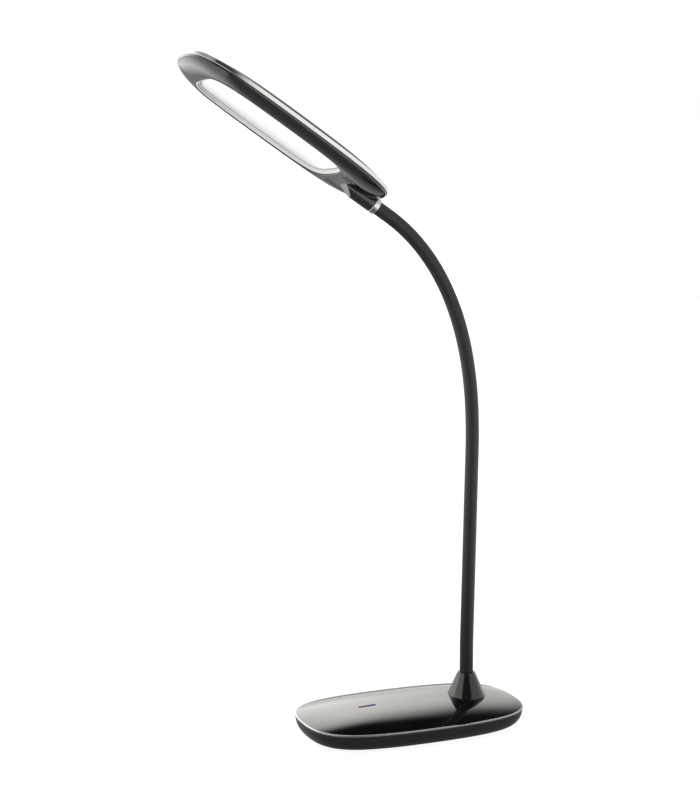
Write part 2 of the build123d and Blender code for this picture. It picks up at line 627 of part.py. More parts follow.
def make_neck_lock_nut():
    """Hexagon nut that pulls the ferrule down."""
    high = boss_bottom - WASHER_THICKNESS
    hexagon = Pos(neck_x, 0, high - NUT_THICKNESS) * RegularPolygon(NUT_ACROSS_CORNERS / 2, 6)
    nut = extrude(hexagon, amount=NUT_THICKNESS, dir=(0, 0, 1))
    return nut - rod(LOWER_FERRULE_RADIUS + SCREW_CLEARANCE, 0, crown, neck_x)


# ---- Head --------------------------------------------------------------------------------------
band_bottom = BAND_TOP_Z - BAND_HEIGHT
underside = band_bottom - HEAD_SHELL_DEPTH
head_floor = underside + HEAD_SHELL_WALL
head_half_length = HEAD_LENGTH / 2 - HEAD_EDGE_STEP
head_half_width = HEAD_WIDTH / 2 - HEAD_EDGE_STEP
opening_half = ((HEAD_LENGTH - OPENING_TIP_MARGIN - OPENING_BACK_MARGIN) / 2,
                HEAD_WIDTH / 2 - OPENING_SIDE_MARGIN)
opening_x = (OPENING_BACK_MARGIN - OPENING_TIP_MARGIN) / 2
lens_face = underside + LENS_RECESS
frame_top = lens_face + LENS_THICKNESS
light_box_bottom = frame_top + LENS_FLANGE_THICKNESS
led_board_bottom = light_box_bottom + LIGHT_BOX_DEPTH
led_board_top = led_board_bottom + LED_BOARD_THICKNESS
spreader_top = led_board_top + SPREADER_THICKNESS
socket_back_x = SOCKET_INSET - HEAD_LENGTH / 2
socket_ramp_x = socket_back_x + SOCKET_LENGTH
ferrule_front_x = socket_back_x + FERRULE_GRIP
clamp_back_x = socket_back_x + CLAMP_INSET
clamp_front_x = clamp_back_x + CLAMP_LENGTH
clamp_places = [(x, side * CLAMP_SCREW_Y) for side in (-1, 1)
                for x in (clamp_back_x + CLAMP_SCREW_INSET, clamp_front_x - CLAMP_SCREW_INSET)]
ring_back_x = socket_back_x - RING_LENGTH
station_x = ring_back_x - HEAD_STUB_LENGTH

# The head hangs on the neck: its socket's axis runs on from the last station.
head_tilt = pi - end_heading
head_origin = (end_x - station_x * -cos(head_tilt) - SOCKET_Z * sin(head_tilt), 0,
               end_z - station_x * sin(head_tilt) - SOCKET_Z * cos(head_tilt))
head_frame = Plane(origin=head_origin, x_dir=(-cos(head_tilt), 0, sin(head_tilt)),
                   z_dir=(sin(head_tilt), 0, cos(head_tilt)))


def in_opening(inset, low, high):
    """Prism of the opening's outline, drawn in by an inset."""
    return plate(opening_half[0] - inset, opening_half[1] - inset, OPENING_FULLNESS, low, high,
                 opening_x)


def make_head_top_cover():
    """Domed gloss cover with a locating skirt and the light unit's screw posts."""
    outer = dome(head_half_length, head_half_width, HEAD_FULLNESS, BAND_TOP_Z, HEAD_COVER_RISE,
                 HEAD_DOME_POWER)
    inner = dome(head_half_length - HEAD_COVER_WALL, head_half_width - HEAD_COVER_WALL, HEAD_FULLNESS,
                 BAND_TOP_Z, HEAD_COVER_RISE - HEAD_COVER_WALL, HEAD_DOME_POWER)
    cover = outer - inner
    skirt_outer = BAND_WALL + THROUGH_CLEARANCE
    skirt_inner = HEAD_EDGE_STEP + HEAD_COVER_WALL
    skirt = plate(HEAD_LENGTH / 2 - skirt_outer, HEAD_WIDTH / 2 - skirt_outer, HEAD_FULLNESS,
                  band_bottom + THROUGH_CLEARANCE, BAND_TOP_Z)
    skirt -= plate(HEAD_LENGTH / 2 - skirt_inner, HEAD_WIDTH / 2 - skirt_inner, HEAD_FULLNESS,
                   band_bottom, BAND_TOP_Z)
    cover += skirt
    places = [(opening_x + x, y) for x, y in corners(HEAD_POST_X, HEAD_POST_Y)]
    cover += [rod(HEAD_POST_RADIUS, spreader_top, BAND_TOP_Z + HEAD_COVER_RISE, x, y) & outer
              for x, y in places]
    pilot = SMALL_SCREW_RADIUS + SCREW_CLEARANCE
    cuts = [rod(pilot, spreader_top - 1, spreader_top + HEAD_PILOT_DEPTH, x, y) for x, y in places]
    return cover - [rod_x(RING_RADIUS + STATION_GAP, -BIG, socket_back_x, 0, SOCKET_Z), *cuts]


def make_head_trim_band():
    """Bright band between the two halves of the head."""
    band = plate(HEAD_LENGTH / 2, HEAD_WIDTH / 2, HEAD_FULLNESS, band_bottom, BAND_TOP_Z)
    band -= plate(HEAD_LENGTH / 2 - BAND_WALL, HEAD_WIDTH / 2 - BAND_WALL, HEAD_FULLNESS,
                  band_bottom - 1, BAND_TOP_Z + 1)
    return band


def socket_fairing():
    """Half-round fairing that carries the neck, with a sloped front and a cradle inside the shell."""
    fairing = rod_x(RING_RADIUS, socket_back_x, socket_ramp_x, 0, SOCKET_Z)
    fairing -= block((clamp_back_x - 1, BIG), (-BIG, BIG), (CRADLE_TOP_Z, BIG))
    run = SOCKET_LENGTH
    drop = run * tan(radians(SOCKET_RAMP_ANGLE))
    ramp = Polyline((socket_ramp_x, underside), (socket_ramp_x - run, underside - drop),
                    (socket_ramp_x + run, underside - drop), (socket_ramp_x + run, underside), close=True)
    fairing -= extrude(Plane.XZ * make_face(ramp), amount=RING_RADIUS * 2, both=True)
    for side in (-1, 1):
        cheek = sorted((side * (RING_RADIUS - 2), side * CLAMP_HALF_WIDTH))
        fairing += block((clamp_back_x, clamp_front_x), cheek, (head_floor - 0.4, CRADLE_TOP_Z))
    return fairing


def make_head_lower_shell():
    """Gloss bowl with the lamp's opening, vents, and the neck's fairing and cradle."""
    fullness = (HEAD_FULLNESS, HEAD_FLAT_FULLNESS)
    shell = bowl(head_half_length, head_half_width, fullness, band_bottom, HEAD_SHELL_DEPTH,
                 HEAD_TUCK_END, HEAD_TUCK_SIDE)
    shell -= bowl(head_half_length - HEAD_SHELL_WALL, head_half_width - HEAD_SHELL_WALL, fullness,
                  band_bottom, HEAD_SHELL_DEPTH - HEAD_SHELL_WALL, HEAD_TUCK_END, HEAD_TUCK_SIDE)
    shell += socket_fairing()
    shell += in_opening(-FRAME_FLANGE - 0.6, head_floor - 0.7, underside + FRAME_SEAT)
    shell -= in_opening(0, underside - 1, band_bottom + 1)
    shell -= rod_x(UPPER_FERRULE_RADIUS + SCREW_CLEARANCE, socket_back_x - 1, ferrule_front_x, 0,
                   SOCKET_Z)
    shell -= block((ferrule_front_x - 1, ferrule_front_x + 7), (-2.5, 2.5),
                   (SOCKET_Z - 0.8, CRADLE_TOP_Z + 1))
    shell -= rod_x(RING_RADIUS + STATION_GAP, -BIG, socket_back_x, 0, SOCKET_Z)
    slot = Pos(0, 0, underside) * Box(VENT_LENGTH, VENT_WIDTH, 4 * HEAD_SHELL_WALL)
    first_vent_x = opening_x - opening_half[0] - VENT_MARGIN
    shell -= [Pos(first_vent_x - VENT_PITCH * number, side * row, 0) * slot
              for row in VENT_ROWS_Y for side in (-1, 1) for number in range(VENTS_IN_ROW)]
    pilots = [rod(SMALL_SCREW_RADIUS + SCREW_CLEARANCE, head_floor - 0.6, CRADLE_TOP_Z + 1, x, y)
              for x, y in clamp_places]
    return shell - pilots


def make_lens_frame():
    """Pale frame that lines the opening and holds the diffuser."""
    frame = in_opening(FRAME_CLEARANCE, underside + 0.2, frame_top)
    seat = underside + FRAME_SEAT
    frame += in_opening(-FRAME_FLANGE, seat, seat + FRAME_FLANGE_THICKNESS)
    return frame - in_opening(FRAME_CLEARANCE + FRAME_WALL, underside - 1, frame_top + 1)


def make_diffuser_lens():
    """Opal diffuser, with a flange that sits on the frame."""
    lens = in_opening(2 * FRAME_CLEARANCE + FRAME_WALL, lens_face, frame_top)
    return lens + in_opening(FRAME_CLEARANCE, frame_top, light_box_bottom)


def make_light_box():
    """White wall between the diffuser and the lamp board."""
    box = in_opening(FRAME_CLEARANCE, light_box_bottom, led_board_bottom)
    return box - in_opening(FRAME_CLEARANCE + LIGHT_BOX_WALL, light_box_bottom - 1, led_board_bottom + 1)


def post_holes(shape, low, high):
    """Cut the light unit's four screw holes."""
    for x, y in corners(HEAD_POST_X, HEAD_POST_Y):
        shape -= rod(SMALL_SCREW_RADIUS + THROUGH_CLEARANCE, low, high, opening_x + x, y)
    return shape


def make_led_board():
    """White lamp board."""
    board = in_opening(FRAME_CLEARANCE, led_board_bottom, led_board_top)
    return post_holes(board, led_board_bottom - 1, led_board_top + 1)


def make_head_leds():
    """Rows of white lamps on the board's lower face."""
    length, width, height = LED_SIZE
    led_gap = 2 * (opening_half[0] - LED_END_MARGIN) / (LEDS_IN_ROW - 1)
    lamps = []
    for row in range(LED_ROWS):
        y = (row - (LED_ROWS - 1) / 2) * LED_ROW_GAP
        for number in range(LEDS_IN_ROW):
            x = opening_x + (number - (LEDS_IN_ROW - 1) / 2) * led_gap
            lamps.append(block((x - length / 2, x + length / 2), (y - width / 2, y + width / 2),
                               (led_board_bottom - height, led_board_bottom)))
    return lamps


def make_heat_spreader():
    """Aluminium plate on the lamp board's back."""
    spreader = in_opening(SPREADER_MARGIN, led_board_top, spreader_top)
    return post_holes(spreader, led_board_top - 1, spreader_top + 1)


def make_head_screws():
    """Four screws through the lamp board and the spreader into the cover's posts."""
    one = screw(SMALL_SCREW_RADIUS, led_board_bottom - 0.8, led_board_bottom, spreader_top + 2)
    return [Pos(opening_x + x, y, 0) * one for x, y in corners(HEAD_POST_X, HEAD_POST_Y)]


def make_neck_upper_ferrule():
    """Steel tube that the conduit is crimped into, lying in the cradle."""
    ferrule = rod_x(UPPER_FERRULE_RADIUS, ring_back_x, ferrule_front_x, 0, SOCKET_Z)
    return ferrule - rod_x(bore_radius, -BIG, ferrule_front_x + 1, 0, SOCKET_Z)


def set_screw_bar(radius, inner, outer):
    """Short radial bar through the ferrule ring, on the side that faces -Y and down."""
    bar = Pos(0, 0, (inner + outer) / 2) * Cylinder(radius, outer - inner)
    place = Pos(socket_back_x - RING_LENGTH / 2, 0, SOCKET_Z)
    return place * Rot(-90 - SET_SCREW_ANGLE, 0, 0) * bar


def make_ferrule_ring():
    """Bright ring between the fairing and the sleeve."""
    ring = rod_x(RING_RADIUS, ring_back_x, socket_back_x, 0, SOCKET_Z)
    ring -= rod_x(UPPER_FERRULE_RADIUS + SCREW_CLEARANCE, -BIG, socket_back_x + 1, 0, SOCKET_Z)
    return ring - set_screw_bar(SET_SCREW_RADIUS + SCREW_CLEARANCE, UPPER_FERRULE_RADIUS - 1,
                                RING_RADIUS + 1)


def make_ferrule_set_screw():
    """Grub screw that locks the ring on the ferrule."""
    return set_screw_bar(SET_SCREW_RADIUS, UPPER_FERRULE_RADIUS + 0.02, RING_RADIUS - 0.3)


def make_ferrule_clamp():
    """Saddle that holds the ferrule down in its cradle."""
    clamp = block((clamp_back_x, clamp_front_x), (-CLAMP_HALF_WIDTH, CLAMP_HALF_WIDTH),
                  (CRADLE_TOP_Z, CLAMP_TOP_Z))
    clamp -= rod_x(UPPER_FERRULE_RADIUS + SCREW_CLEARANCE, clamp_back_x - 1, clamp_front_x + 1, 0,
                   SOCKET_Z)
    return clamp - [rod(SMALL_SCREW_RADIUS + THROUGH_CLEARANCE, CRADLE_TOP_Z - 1, 0, x, y)
                    for x, y in clamp_places]


def make_clamp_screws():
    """Four screws that pull the saddle down."""
    shank = rod(SMALL_SCREW_RADIUS, head_floor - 0.4, CLAMP_TOP_Z)
    one = shank + rod(SMALL_SCREW_RADIUS * SCREW_HEAD_SHARE, CLAMP_TOP_Z, CLAMP_TOP_Z + 1)
    return [Pos(x, y, 0) * one for x, y in clamp_places]


def make_head_leads():
    """Twin lead from the conduit's end up to the lamp board."""
    low = SOCKET_Z + 0.3
    on_board = led_board_top + LEAD_THICKNESS / 2
    high = on_board + LEAD_GAP
    exit_x = ferrule_front_x + LEAD_SLOPE_RUN - 2
    edge = opening_x - opening_half[0] + FRAME_CLEARANCE
    return twin_lead([(ferrule_front_x, low), (exit_x, low), (exit_x + LEAD_SLOPE_RUN + 1, high),
                      (edge - LEAD_SLOPE_RUN + 1, high), (edge - 1, on_board), (edge + 2, on_board)],
                     0, LEAD_BEND)


def make_sleeve_head():
    """Sleeve between the last station and the ferrule ring, in the head's frame."""
    sleeve = rod_x(SLEEVE_RADIUS, station_x, ring_back_x, 0, SOCKET_Z)
    return sleeve - rod_x(bore_radius, station_x - 1, ring_back_x + 1, 0, SOCKET_Z)


def make_conduit_head():
    """Conduit held in the upper ferrule, in the head's frame."""
    return rod_x(CONDUIT_RADIUS, station_x, ferrule_front_x, 0, SOCKET_Z)


# ---- Build -------------------------------------------------------------------------------------
os.makedirs("parts", exist_ok=True)

base_parts = {
    "base_top_cover": make_base_top_cover(),
    "base_trim_ring": make_base_trim_ring(),
    "base_lower_shell": make_base_lower_shell(),
    "base_weight": make_base_weight(),
    "rubber_pad": make_rubber_pad(),
    "base_screws": make_base_screws(),
    "control_board": make_control_board(),
    "board_screws": make_board_screws(),
    "board_parts": make_board_parts(),
    "touch_electrode": make_touch_electrode(),
    "indicator_light_pipe": make_indicator_light_pipe(),
    "indicator_leds": make_indicator_leds(),
    "dc_jack": make_dc_jack(),
    "base_leads": make_base_leads(),
    "neck_collar": make_neck_collar(),
    "neck_lower_ferrule": make_neck_lower_ferrule(),
    "neck_lock_washer": make_neck_lock_washer(),
    "neck_lock_nut": make_neck_lock_nut(),
    "gooseneck_sleeve_base": make_sleeve_base(),
    "gooseneck_conduit_base": make_conduit_base(),
}
for index in range(STRAIGHT_LINKS + CURVED_LINKS):
    base_parts[f"gooseneck_sleeve_{index + 1:02d}"] = make_sleeve_link(index)
    base_parts[f"gooseneck_conduit_{index + 1:02d}"] = make_conduit_link(index)

head_parts = {
    "head_top_cover": make_head_top_cover(),
    "head_trim_band": make_head_trim_band(),
    "head_lower_shell": make_head_lower_shell(),
    "lens_frame": make_lens_frame(),
    "diffuser_lens": make_diffuser_lens(),
    "light_box": make_light_box(),
    "led_board": make_led_board(),
    "head_leds": make_head_leds(),
    "heat_spreader": make_heat_spreader(),
    "head_screws": make_head_screws(),
    "neck_upper_ferrule": make_neck_upper_ferrule(),
    "ferrule_ring": make_ferrule_ring(),
    "ferrule_set_screw": make_ferrule_set_screw(),
    "ferrule_clamp": make_ferrule_clamp(),
    "clamp_screws": make_clamp_screws(),
    "head_leads": make_head_leads(),
    "gooseneck_sleeve_head": make_sleeve_head(),
    "gooseneck_conduit_head": make_conduit_head(),
}
last_station = len(stations)
placed_head = {}
for name, shape in head_parts.items():
    pieces = shape if isinstance(shape, list) else [shape]
    pieces = [head_frame.location * piece for piece in pieces]
    if name.startswith("gooseneck"):
        pieces = [piece - wedge(stations[-1], last_station, True) for piece in pieces]
    placed_head[name] = pieces

for name, shape in {**base_parts, **placed_head}.items():
    pieces = shape if isinstance(shape, list) else [shape]
    solids = [solid for piece in pieces for solid in piece.solids()]
    export(name, solids[0] if len(solids) == 1 else Compound(children=solids))

for number, (x, z, heading) in enumerate(stations, 1):
    print(f"station {number}: x {x:.3f} z {z:.3f} heading {degrees(heading):.3f}")
print(f"head origin {head_origin[0]:.3f} {head_origin[2]:.3f} tilt {degrees(head_tilt):.3f}")
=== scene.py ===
# %% [markdown]
# # A gooseneck desk lamp, dressed for its portrait
# The solid model already says where everything is. This lesson gives the visible pieces fine
# surfaces, honest edges and finishes: gloss black plastic, bright plated trim, matt rubber, and an
# opal window with light behind it. Lengths are typed in millimetres, as on the drawing, and turned
# into Blender's metres once, when a mesh is made.

# %% Load the solid model
import json
import math
import bmesh
import bpy
import numpy as np
from mathutils import Matrix, Vector


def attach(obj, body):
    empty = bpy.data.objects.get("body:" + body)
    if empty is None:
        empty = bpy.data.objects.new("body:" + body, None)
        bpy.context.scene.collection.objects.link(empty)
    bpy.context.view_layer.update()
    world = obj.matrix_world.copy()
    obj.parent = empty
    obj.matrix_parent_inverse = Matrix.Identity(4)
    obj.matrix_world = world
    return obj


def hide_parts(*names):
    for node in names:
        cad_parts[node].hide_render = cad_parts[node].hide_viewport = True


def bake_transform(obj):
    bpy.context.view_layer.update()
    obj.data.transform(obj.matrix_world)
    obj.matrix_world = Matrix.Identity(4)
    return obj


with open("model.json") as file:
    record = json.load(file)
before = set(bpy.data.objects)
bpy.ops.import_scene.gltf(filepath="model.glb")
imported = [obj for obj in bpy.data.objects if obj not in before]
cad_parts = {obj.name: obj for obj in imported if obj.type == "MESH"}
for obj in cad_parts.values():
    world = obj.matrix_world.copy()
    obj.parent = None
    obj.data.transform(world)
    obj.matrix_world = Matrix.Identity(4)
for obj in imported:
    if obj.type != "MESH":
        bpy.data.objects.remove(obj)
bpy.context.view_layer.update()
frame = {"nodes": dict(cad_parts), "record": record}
MM = 0.001

# %% [markdown]
# ## The outline that everything shares
# The base, the head and the window are all one family of shape: a rounded rectangle whose sides
# never go quite straight. Each quarter is one cubic curve, and one number, its fullness, says how
# square it is. Sampling that curve with numpy gives rings of points, and rings are all that the
# shells need.

# %% Rounded outlines
AROUND = 384                      # points round every shell


def outline(half, fullness, x_shift=0.0):
    """Points (x, y) of a rounded outline; half is its half length and half width."""
    t = np.linspace(0, 1, AROUND // 4, endpoint=False)
    near = (1 - t) ** 3 + 3 * (1 - t) ** 2 * t + 3 * (1 - t) * t**2 * fullness
    far = 3 * (1 - t) ** 2 * t * fullness + 3 * (1 - t) * t**2 + t**3
    quarters = ((near, far), (-far, near), (-near, -far), (far, -near))
    unit = np.concatenate([np.stack(pair, 1) for pair in quarters])
    return unit * half + [x_shift, 0]


def lift(flat, z):
    """Flat points at a height, which is one number or one for each point."""
    return np.column_stack([flat, np.broadcast_to(z, len(flat))])


def ring(half, fullness, z, x_shift=0.0):
    """A rounded outline, lifted to height z."""
    return lift(outline(half, fullness, x_shift), z)


print("first corner of a unit outline:", outline((1, 1), 0.8)[AROUND // 8].round(3))

# %% [markdown]
# ## From rings to a skin
# A shell is a loft: each ring is joined to the next by a belt of quads. A plate or a cup closes its
# last ring with a cap, and a frame or a shell with a hole joins its last ring back to its first.
# Once points that coincide are welded, every face can be turned outwards.

# %% Loft rings into a mesh
WELD = 1e-7                       # points closer than this, in metres, are one point


def show(name, data):
    """An object with the given data, put into the scene."""
    thing = bpy.data.objects.new(name, data)
    bpy.context.scene.collection.objects.link(thing)
    return thing


def weld(mesh):
    """Join points that coincide, and turn every face outwards."""
    bm = bmesh.new()
    bm.from_mesh(mesh)
    bmesh.ops.remove_doubles(bm, verts=bm.verts, dist=WELD)
    bmesh.ops.recalc_face_normals(bm, faces=bm.faces)
    bm.to_mesh(mesh)
    bm.free()


def loft(name, rings, joined=False, place=None):
    """Skin over a list of equal rings. It is capped at both ends, or joined end to start."""
    count = len(rings[0])
    points = np.concatenate(rings)
    faces = []
    belts = len(rings) if joined else len(rings) - 1
    for belt in range(belts):
        low, high = belt * count, (belt + 1) % len(rings) * count
        for step in range(count):
            after = (step + 1) % count
            faces.append((low + step, low + after, high + after, high + step))
    if not joined:
        faces.append(tuple(range(count))[::-1])
        faces.append(tuple(range(len(points) - count, len(points))))
    mesh = bpy.data.meshes.new(name)
    mesh.from_pydata((points * MM).tolist(), [], faces)
    if place is not None:
        mesh.transform(place)
    mesh.validate()
    weld(mesh)
    return show(name, mesh)


def turned(name, profile, place, count=96, joined=True):
    """A turned part: profile is (radius, height) pairs, spun about the place's Z axis."""
    angles = np.linspace(0, 2 * math.pi, count, endpoint=False)
    circle = np.column_stack([np.cos(angles), np.sin(angles)])
    return loft(name, [lift(circle * radius, height) for radius, height in profile], joined, place)


print("one belt of quads has", AROUND, "faces")

# %% [markdown]
# ## Shading, cutting and rounding
# Smooth shading leaves sharp edges sharp. A boolean cuts slits and holes, and is applied at once.
# Moulded plastic never ends in a knife edge, so every rim is turned over a small arc.

# %% Helpers for every skin
def smooth(piece, angle=32):
    """Smooth shading that keeps edges sharper than the angle."""
    with bpy.context.temp_override(object=piece, active_object=piece, selected_objects=[piece],
                                   selected_editable_objects=[piece]):
        bpy.ops.object.shade_smooth_by_angle(angle=math.radians(angle))
    return piece


def apply_modifiers(piece):
    """Turn a piece's live modifiers into plain mesh."""
    bpy.context.view_layer.update()
    graph = bpy.context.evaluated_depsgraph_get()
    mesh = bpy.data.meshes.new_from_object(piece.evaluated_get(graph), depsgraph=graph)
    old = piece.data
    piece.modifiers.clear()
    piece.data = mesh
    bpy.data.meshes.remove(old)
    return piece


def cut(piece, tool, operation="DIFFERENCE"):
    """Boolean one piece with another, and throw the tool away."""
    modifier = piece.modifiers.new("cut", "BOOLEAN")
    modifier.operation, modifier.object, modifier.solver = operation, tool, "EXACT"
    apply_modifiers(piece)
    bpy.data.objects.remove(tool)
    return piece


def arc(across, up, radius, start, end, steps=6):
    """Points (across, up) round a centre, between two angles in degrees."""
    angles = np.radians(np.linspace(start, end, steps))
    return [(across + a, up + b) for a, b in zip(np.cos(angles) * radius, np.sin(angles) * radius)]


def belly_shares(steps, reverse=False):
    """How far (inward, down) a belly has come at each step: upright first, nearly flat at last."""
    last = math.radians(80)
    turns = np.linspace(0, last, steps)
    shares = list(zip((1 - np.cos(turns)) / (1 - math.cos(last)), np.sin(turns) / math.sin(last)))
    return shares[::-1] if reverse else shares


print("halfway down a belly:", np.round(belly_shares(3)[1], 3))

# %% [markdown]
# ## The sizes on the drawing
# These repeat the drawing's own numbers, because a fine skin that strays from the solid it covers
# would float or sink. Only the slit is drawn wider, and the vents a little larger further down, so
# that they can be seen. A pair called half is a half length and a half width.

# %% Sizes of the base, neck and head
BASE_HALF = np.array((91.5, 53.0))      # over the bright ring
BASE_FULLNESS = 0.79
RIM_Z, RING_Z, FLOOR_Z = 15.2, 13.4, 1.0
BASE_RISE, BASE_WALL = 6.4, 2.2
COVER_HALF, TRAY_HALF = BASE_HALF - 0.8, BASE_HALF - 0.4
TRAY_TUCK, PAD_INSET, PAD_POCKET = 8.6, 13.4, 0.8
INLET_Z, INLET_RADIUS = 8.0, 4.1
SLIT_X, SLIT_LENGTH, SLIT_WIDTH = -36.6, 15.2, 3.2
NECK_X, COLLAR_TOP_Z, COLLAR_FOOT_Z = 49.8, 39.5, 20.8
COLLAR_RADII = (15.0, 7.0)              # foot and mouth
SLEEVE_RADIUS = 5.35
HEAD_HALF = np.array((91.1, 46.0))      # over the bright band
HEAD_FULLNESS, FLAT_FULLNESS = 0.84, 0.89
BAND_LOW, BAND_HIGH = -1.6, 1.5
HEAD_RISE, HEAD_WALL = 7.5, 1.6
SHELL_DEPTH, SHELL_WALL = 7.0, 1.8
SHELL_TUCK = np.array((19.6, 9.6))      # at the ends and at the sides
COVERED_HALF = HEAD_HALF - 0.5          # of the cover and shell, a step inside the band
UNDERSIDE = BAND_LOW - SHELL_DEPTH
OPENING_HALF = np.array((59.4, 35.5))
OPENING_FULLNESS, OPENING_X = 0.965, 10.1
LENS_Z = (UNDERSIDE + 3.5, UNDERSIDE + 5.3)
SOCKET_Z, SOCKET_RADIUS = -8.1, 6.3
RING_BACK_X, RING_FRONT_X, RAMP_X = -93.5, -88.9, -61.3
CENTRE = 0.02                           # share of a flat face's size where its rings stop
print("base:", 2 * BASE_HALF, "head:", 2 * HEAD_HALF)

# %% [markdown]
# ## Where the neck goes
# The neck is straight for four lengths and then curls over in six more, each turning a little
# further than the last. Walking along it gives the joints' places, and any point between them.

# %% Walk along the neck
SLEEVE_FOOT_Z, FIRST_JOINT_Z = 31.7, 63.5
STRAIGHT, CURVED, LAST_STUB = 38.6, 34.5, 12.0
LEAN, FIRST_BEND, BEND_GROWTH = 1.25, 4.4, 2.1     # degrees


def walk_neck(step=1.5):
    """The neck's centre line as rows of x, z, heading and distance, and the joints' distances."""
    x, z, heading = NECK_X, SLEEVE_FOOT_Z, math.pi / 2
    rows, joints, distance = [(x, z, heading, 0.0)], [], 0.0
    lengths = [(FIRST_JOINT_Z - SLEEVE_FOOT_Z, 0.0)] + [(STRAIGHT, 0.0)] * 4
    lengths += [(CURVED, math.radians(FIRST_BEND + BEND_GROWTH * k)) for k in range(6)]
    lengths.append((LAST_STUB, 0.0))
    for number, (length, bend) in enumerate(lengths):
        count = max(2, round(length / step))
        piece = length / count
        for _ in range(count):
            half = bend / count / 2
            heading += half
            chord = piece if half == 0 else piece * math.sin(half) / half
            x += chord * math.cos(heading)
            z += chord * math.sin(heading)
            heading += half
            distance += piece
            rows.append((x, z, heading, distance))
        if number < len(lengths) - 1:
            joints.append(distance)
        if number == 0:
            heading -= math.radians(LEAN)
    return np.array(rows), joints


neck, joint_at = walk_neck()
end_x, end_z, end_heading = neck[-1][:3]
print("the neck ends at", end_x.round(2), end_z.round(2), "and", math.degrees(end_heading))

# %% [markdown]
# ## The head's own frame
# The head is easiest to draw lying flat: X towards its tip, Z out of its top. One matrix then hangs
# it on the end of the neck.

# %% Hang the head on the neck
tilt = math.pi - end_heading
along = Vector((-math.cos(tilt), 0, math.sin(tilt)))
out = Vector((math.sin(tilt), 0, math.cos(tilt)))
head_origin = Vector((end_x, 0, end_z)) - along * RING_BACK_X - out * SOCKET_Z
HEAD = Matrix.Translation(head_origin * MM) @ Matrix(
    ((along.x, 0, out.x), (0, -1, 0), (along.z, 0, out.z))).to_4x4()
print("head origin:", [round(c, 2) for c in head_origin], "tilt:", round(math.degrees(tilt), 2))


def placed(x, y, z, turn=0, axis="Y"):
    """A place in millimetres, with a turn in degrees about one axis."""
    return Matrix.Translation(Vector((x, y, z)) * MM) @ Matrix.Rotation(math.radians(turn), 4, axis)


# %% [markdown]
# ## Building with nodes
# Finishes, tools and the sky are all trees of nodes. One helper makes a node and feeds its inputs,
# and the rest are the few sums that the trees use again and again.

# %% Helpers for node trees
def add(tree, kind, feeds=None, **settings):
    """One node with its properties set, and its inputs fed with numbers or other nodes' outputs."""
    node = tree.nodes.new(kind)
    for key, value in settings.items():
        setattr(node, key, value)
    for name, value in (feeds or {}).items():
        if isinstance(value, bpy.types.NodeSocket):
            tree.links.new(value, node.inputs[name])
        else:
            node.inputs[name].default_value = value
    return node


def noise(tree, coordinates, scale, detail):
    """A noise texture on the given coordinates."""
    feeds = {"Vector": coordinates, "Scale": scale, "Detail": detail}
    return add(tree, "ShaderNodeTexNoise", feeds).outputs["Fac"]


def ranged(tree, value, start, end, low=0.0, high=1.0, **settings):
    """Even change from low to high while a value goes from start to end."""
    feeds = {"Value": value, "From Min": start, "From Max": end, "To Min": low, "To Max": high}
    return add(tree, "ShaderNodeMapRange", feeds, **settings).outputs["Result"]


def fade(tree, value, start, end, low=0.0, high=1.0):
    """The same change, with a soft start and end."""
    return ranged(tree, value, start, end, low, high, interpolation_type="SMOOTHSTEP")


def combine(tree, operation, *values):
    """Numbers and outputs folded together with one kind of sum."""
    total = values[0]
    for value in values[1:]:
        feeds = {0: total, 1: value}
        total = add(tree, "ShaderNodeMath", feeds, operation=operation).outputs["Value"]
    return total


def towards(tree, direction, axis):
    """How far a direction or place lies along an axis."""
    feeds = {0: direction, 1: axis}
    return add(tree, "ShaderNodeVectorMath", feeds, operation="DOT_PRODUCT").outputs["Value"]


def split(tree, vector, axis):
    """One coordinate of a vector."""
    return add(tree, "ShaderNodeSeparateXYZ", {"Vector": vector}).outputs[axis]


def ramp(tree, value, stops):
    """A colour ramp over a value, from (position, colour) stops."""
    node = add(tree, "ShaderNodeValToRGB", {"Fac": value})
    elements = node.color_ramp.elements
    for number, (position, colour) in ((0, stops[0]), (1, stops[-1])):
        elements[number].position, elements[number].color = position, (*colour, 1)
    for position, colour in stops[1:-1]:
        elements.new(position).color = (*colour, 1)
    return node.outputs["Color"]


def dimmed(tree, colour, shade):
    """A colour multiplied by a shade."""
    node = add(tree, "ShaderNodeMix", {"Factor": 1.0, "A": colour, "B": shade}, data_type="RGBA",
               blend_type="MULTIPLY")
    return node.outputs["Result"]


# %% [markdown]
# ## Finishes
# A finish is a small tree of shader nodes. What several finishes share, the faint unevenness of a
# moulded or plated surface, is a node group with named inputs, built once and set differently in
# each.

# %% A shared group: the unevenness of a surface
def make_surface_group():
    """Roughness and height that drift over the surface: broad patches and a fine grain."""
    tree = bpy.data.node_groups.new("surface_drift", "ShaderNodeTree")
    for label, value in (("Roughness Low", 0.1), ("Roughness High", 0.2), ("Patch Scale", 25.0),
                         ("Grain Scale", 900.0)):
        socket = tree.interface.new_socket(label, in_out="INPUT", socket_type="NodeSocketFloat")
        socket.default_value = value
    for label in ("Roughness", "Grain", "Patch"):
        tree.interface.new_socket(label, in_out="OUTPUT", socket_type="NodeSocketFloat")
    given = tree.nodes.new("NodeGroupInput").outputs
    place = add(tree, "ShaderNodeTexCoord").outputs["Object"]
    patch = noise(tree, place, given["Patch Scale"], 4.0)
    grain = noise(tree, place, given["Grain Scale"], 2.0)
    roughness = ranged(tree, patch, 0.3, 0.7, given["Roughness Low"], given["Roughness High"])
    add(tree, "NodeGroupOutput", {"Roughness": roughness, "Grain": grain, "Patch": patch})
    return tree


surface_drift = make_surface_group()


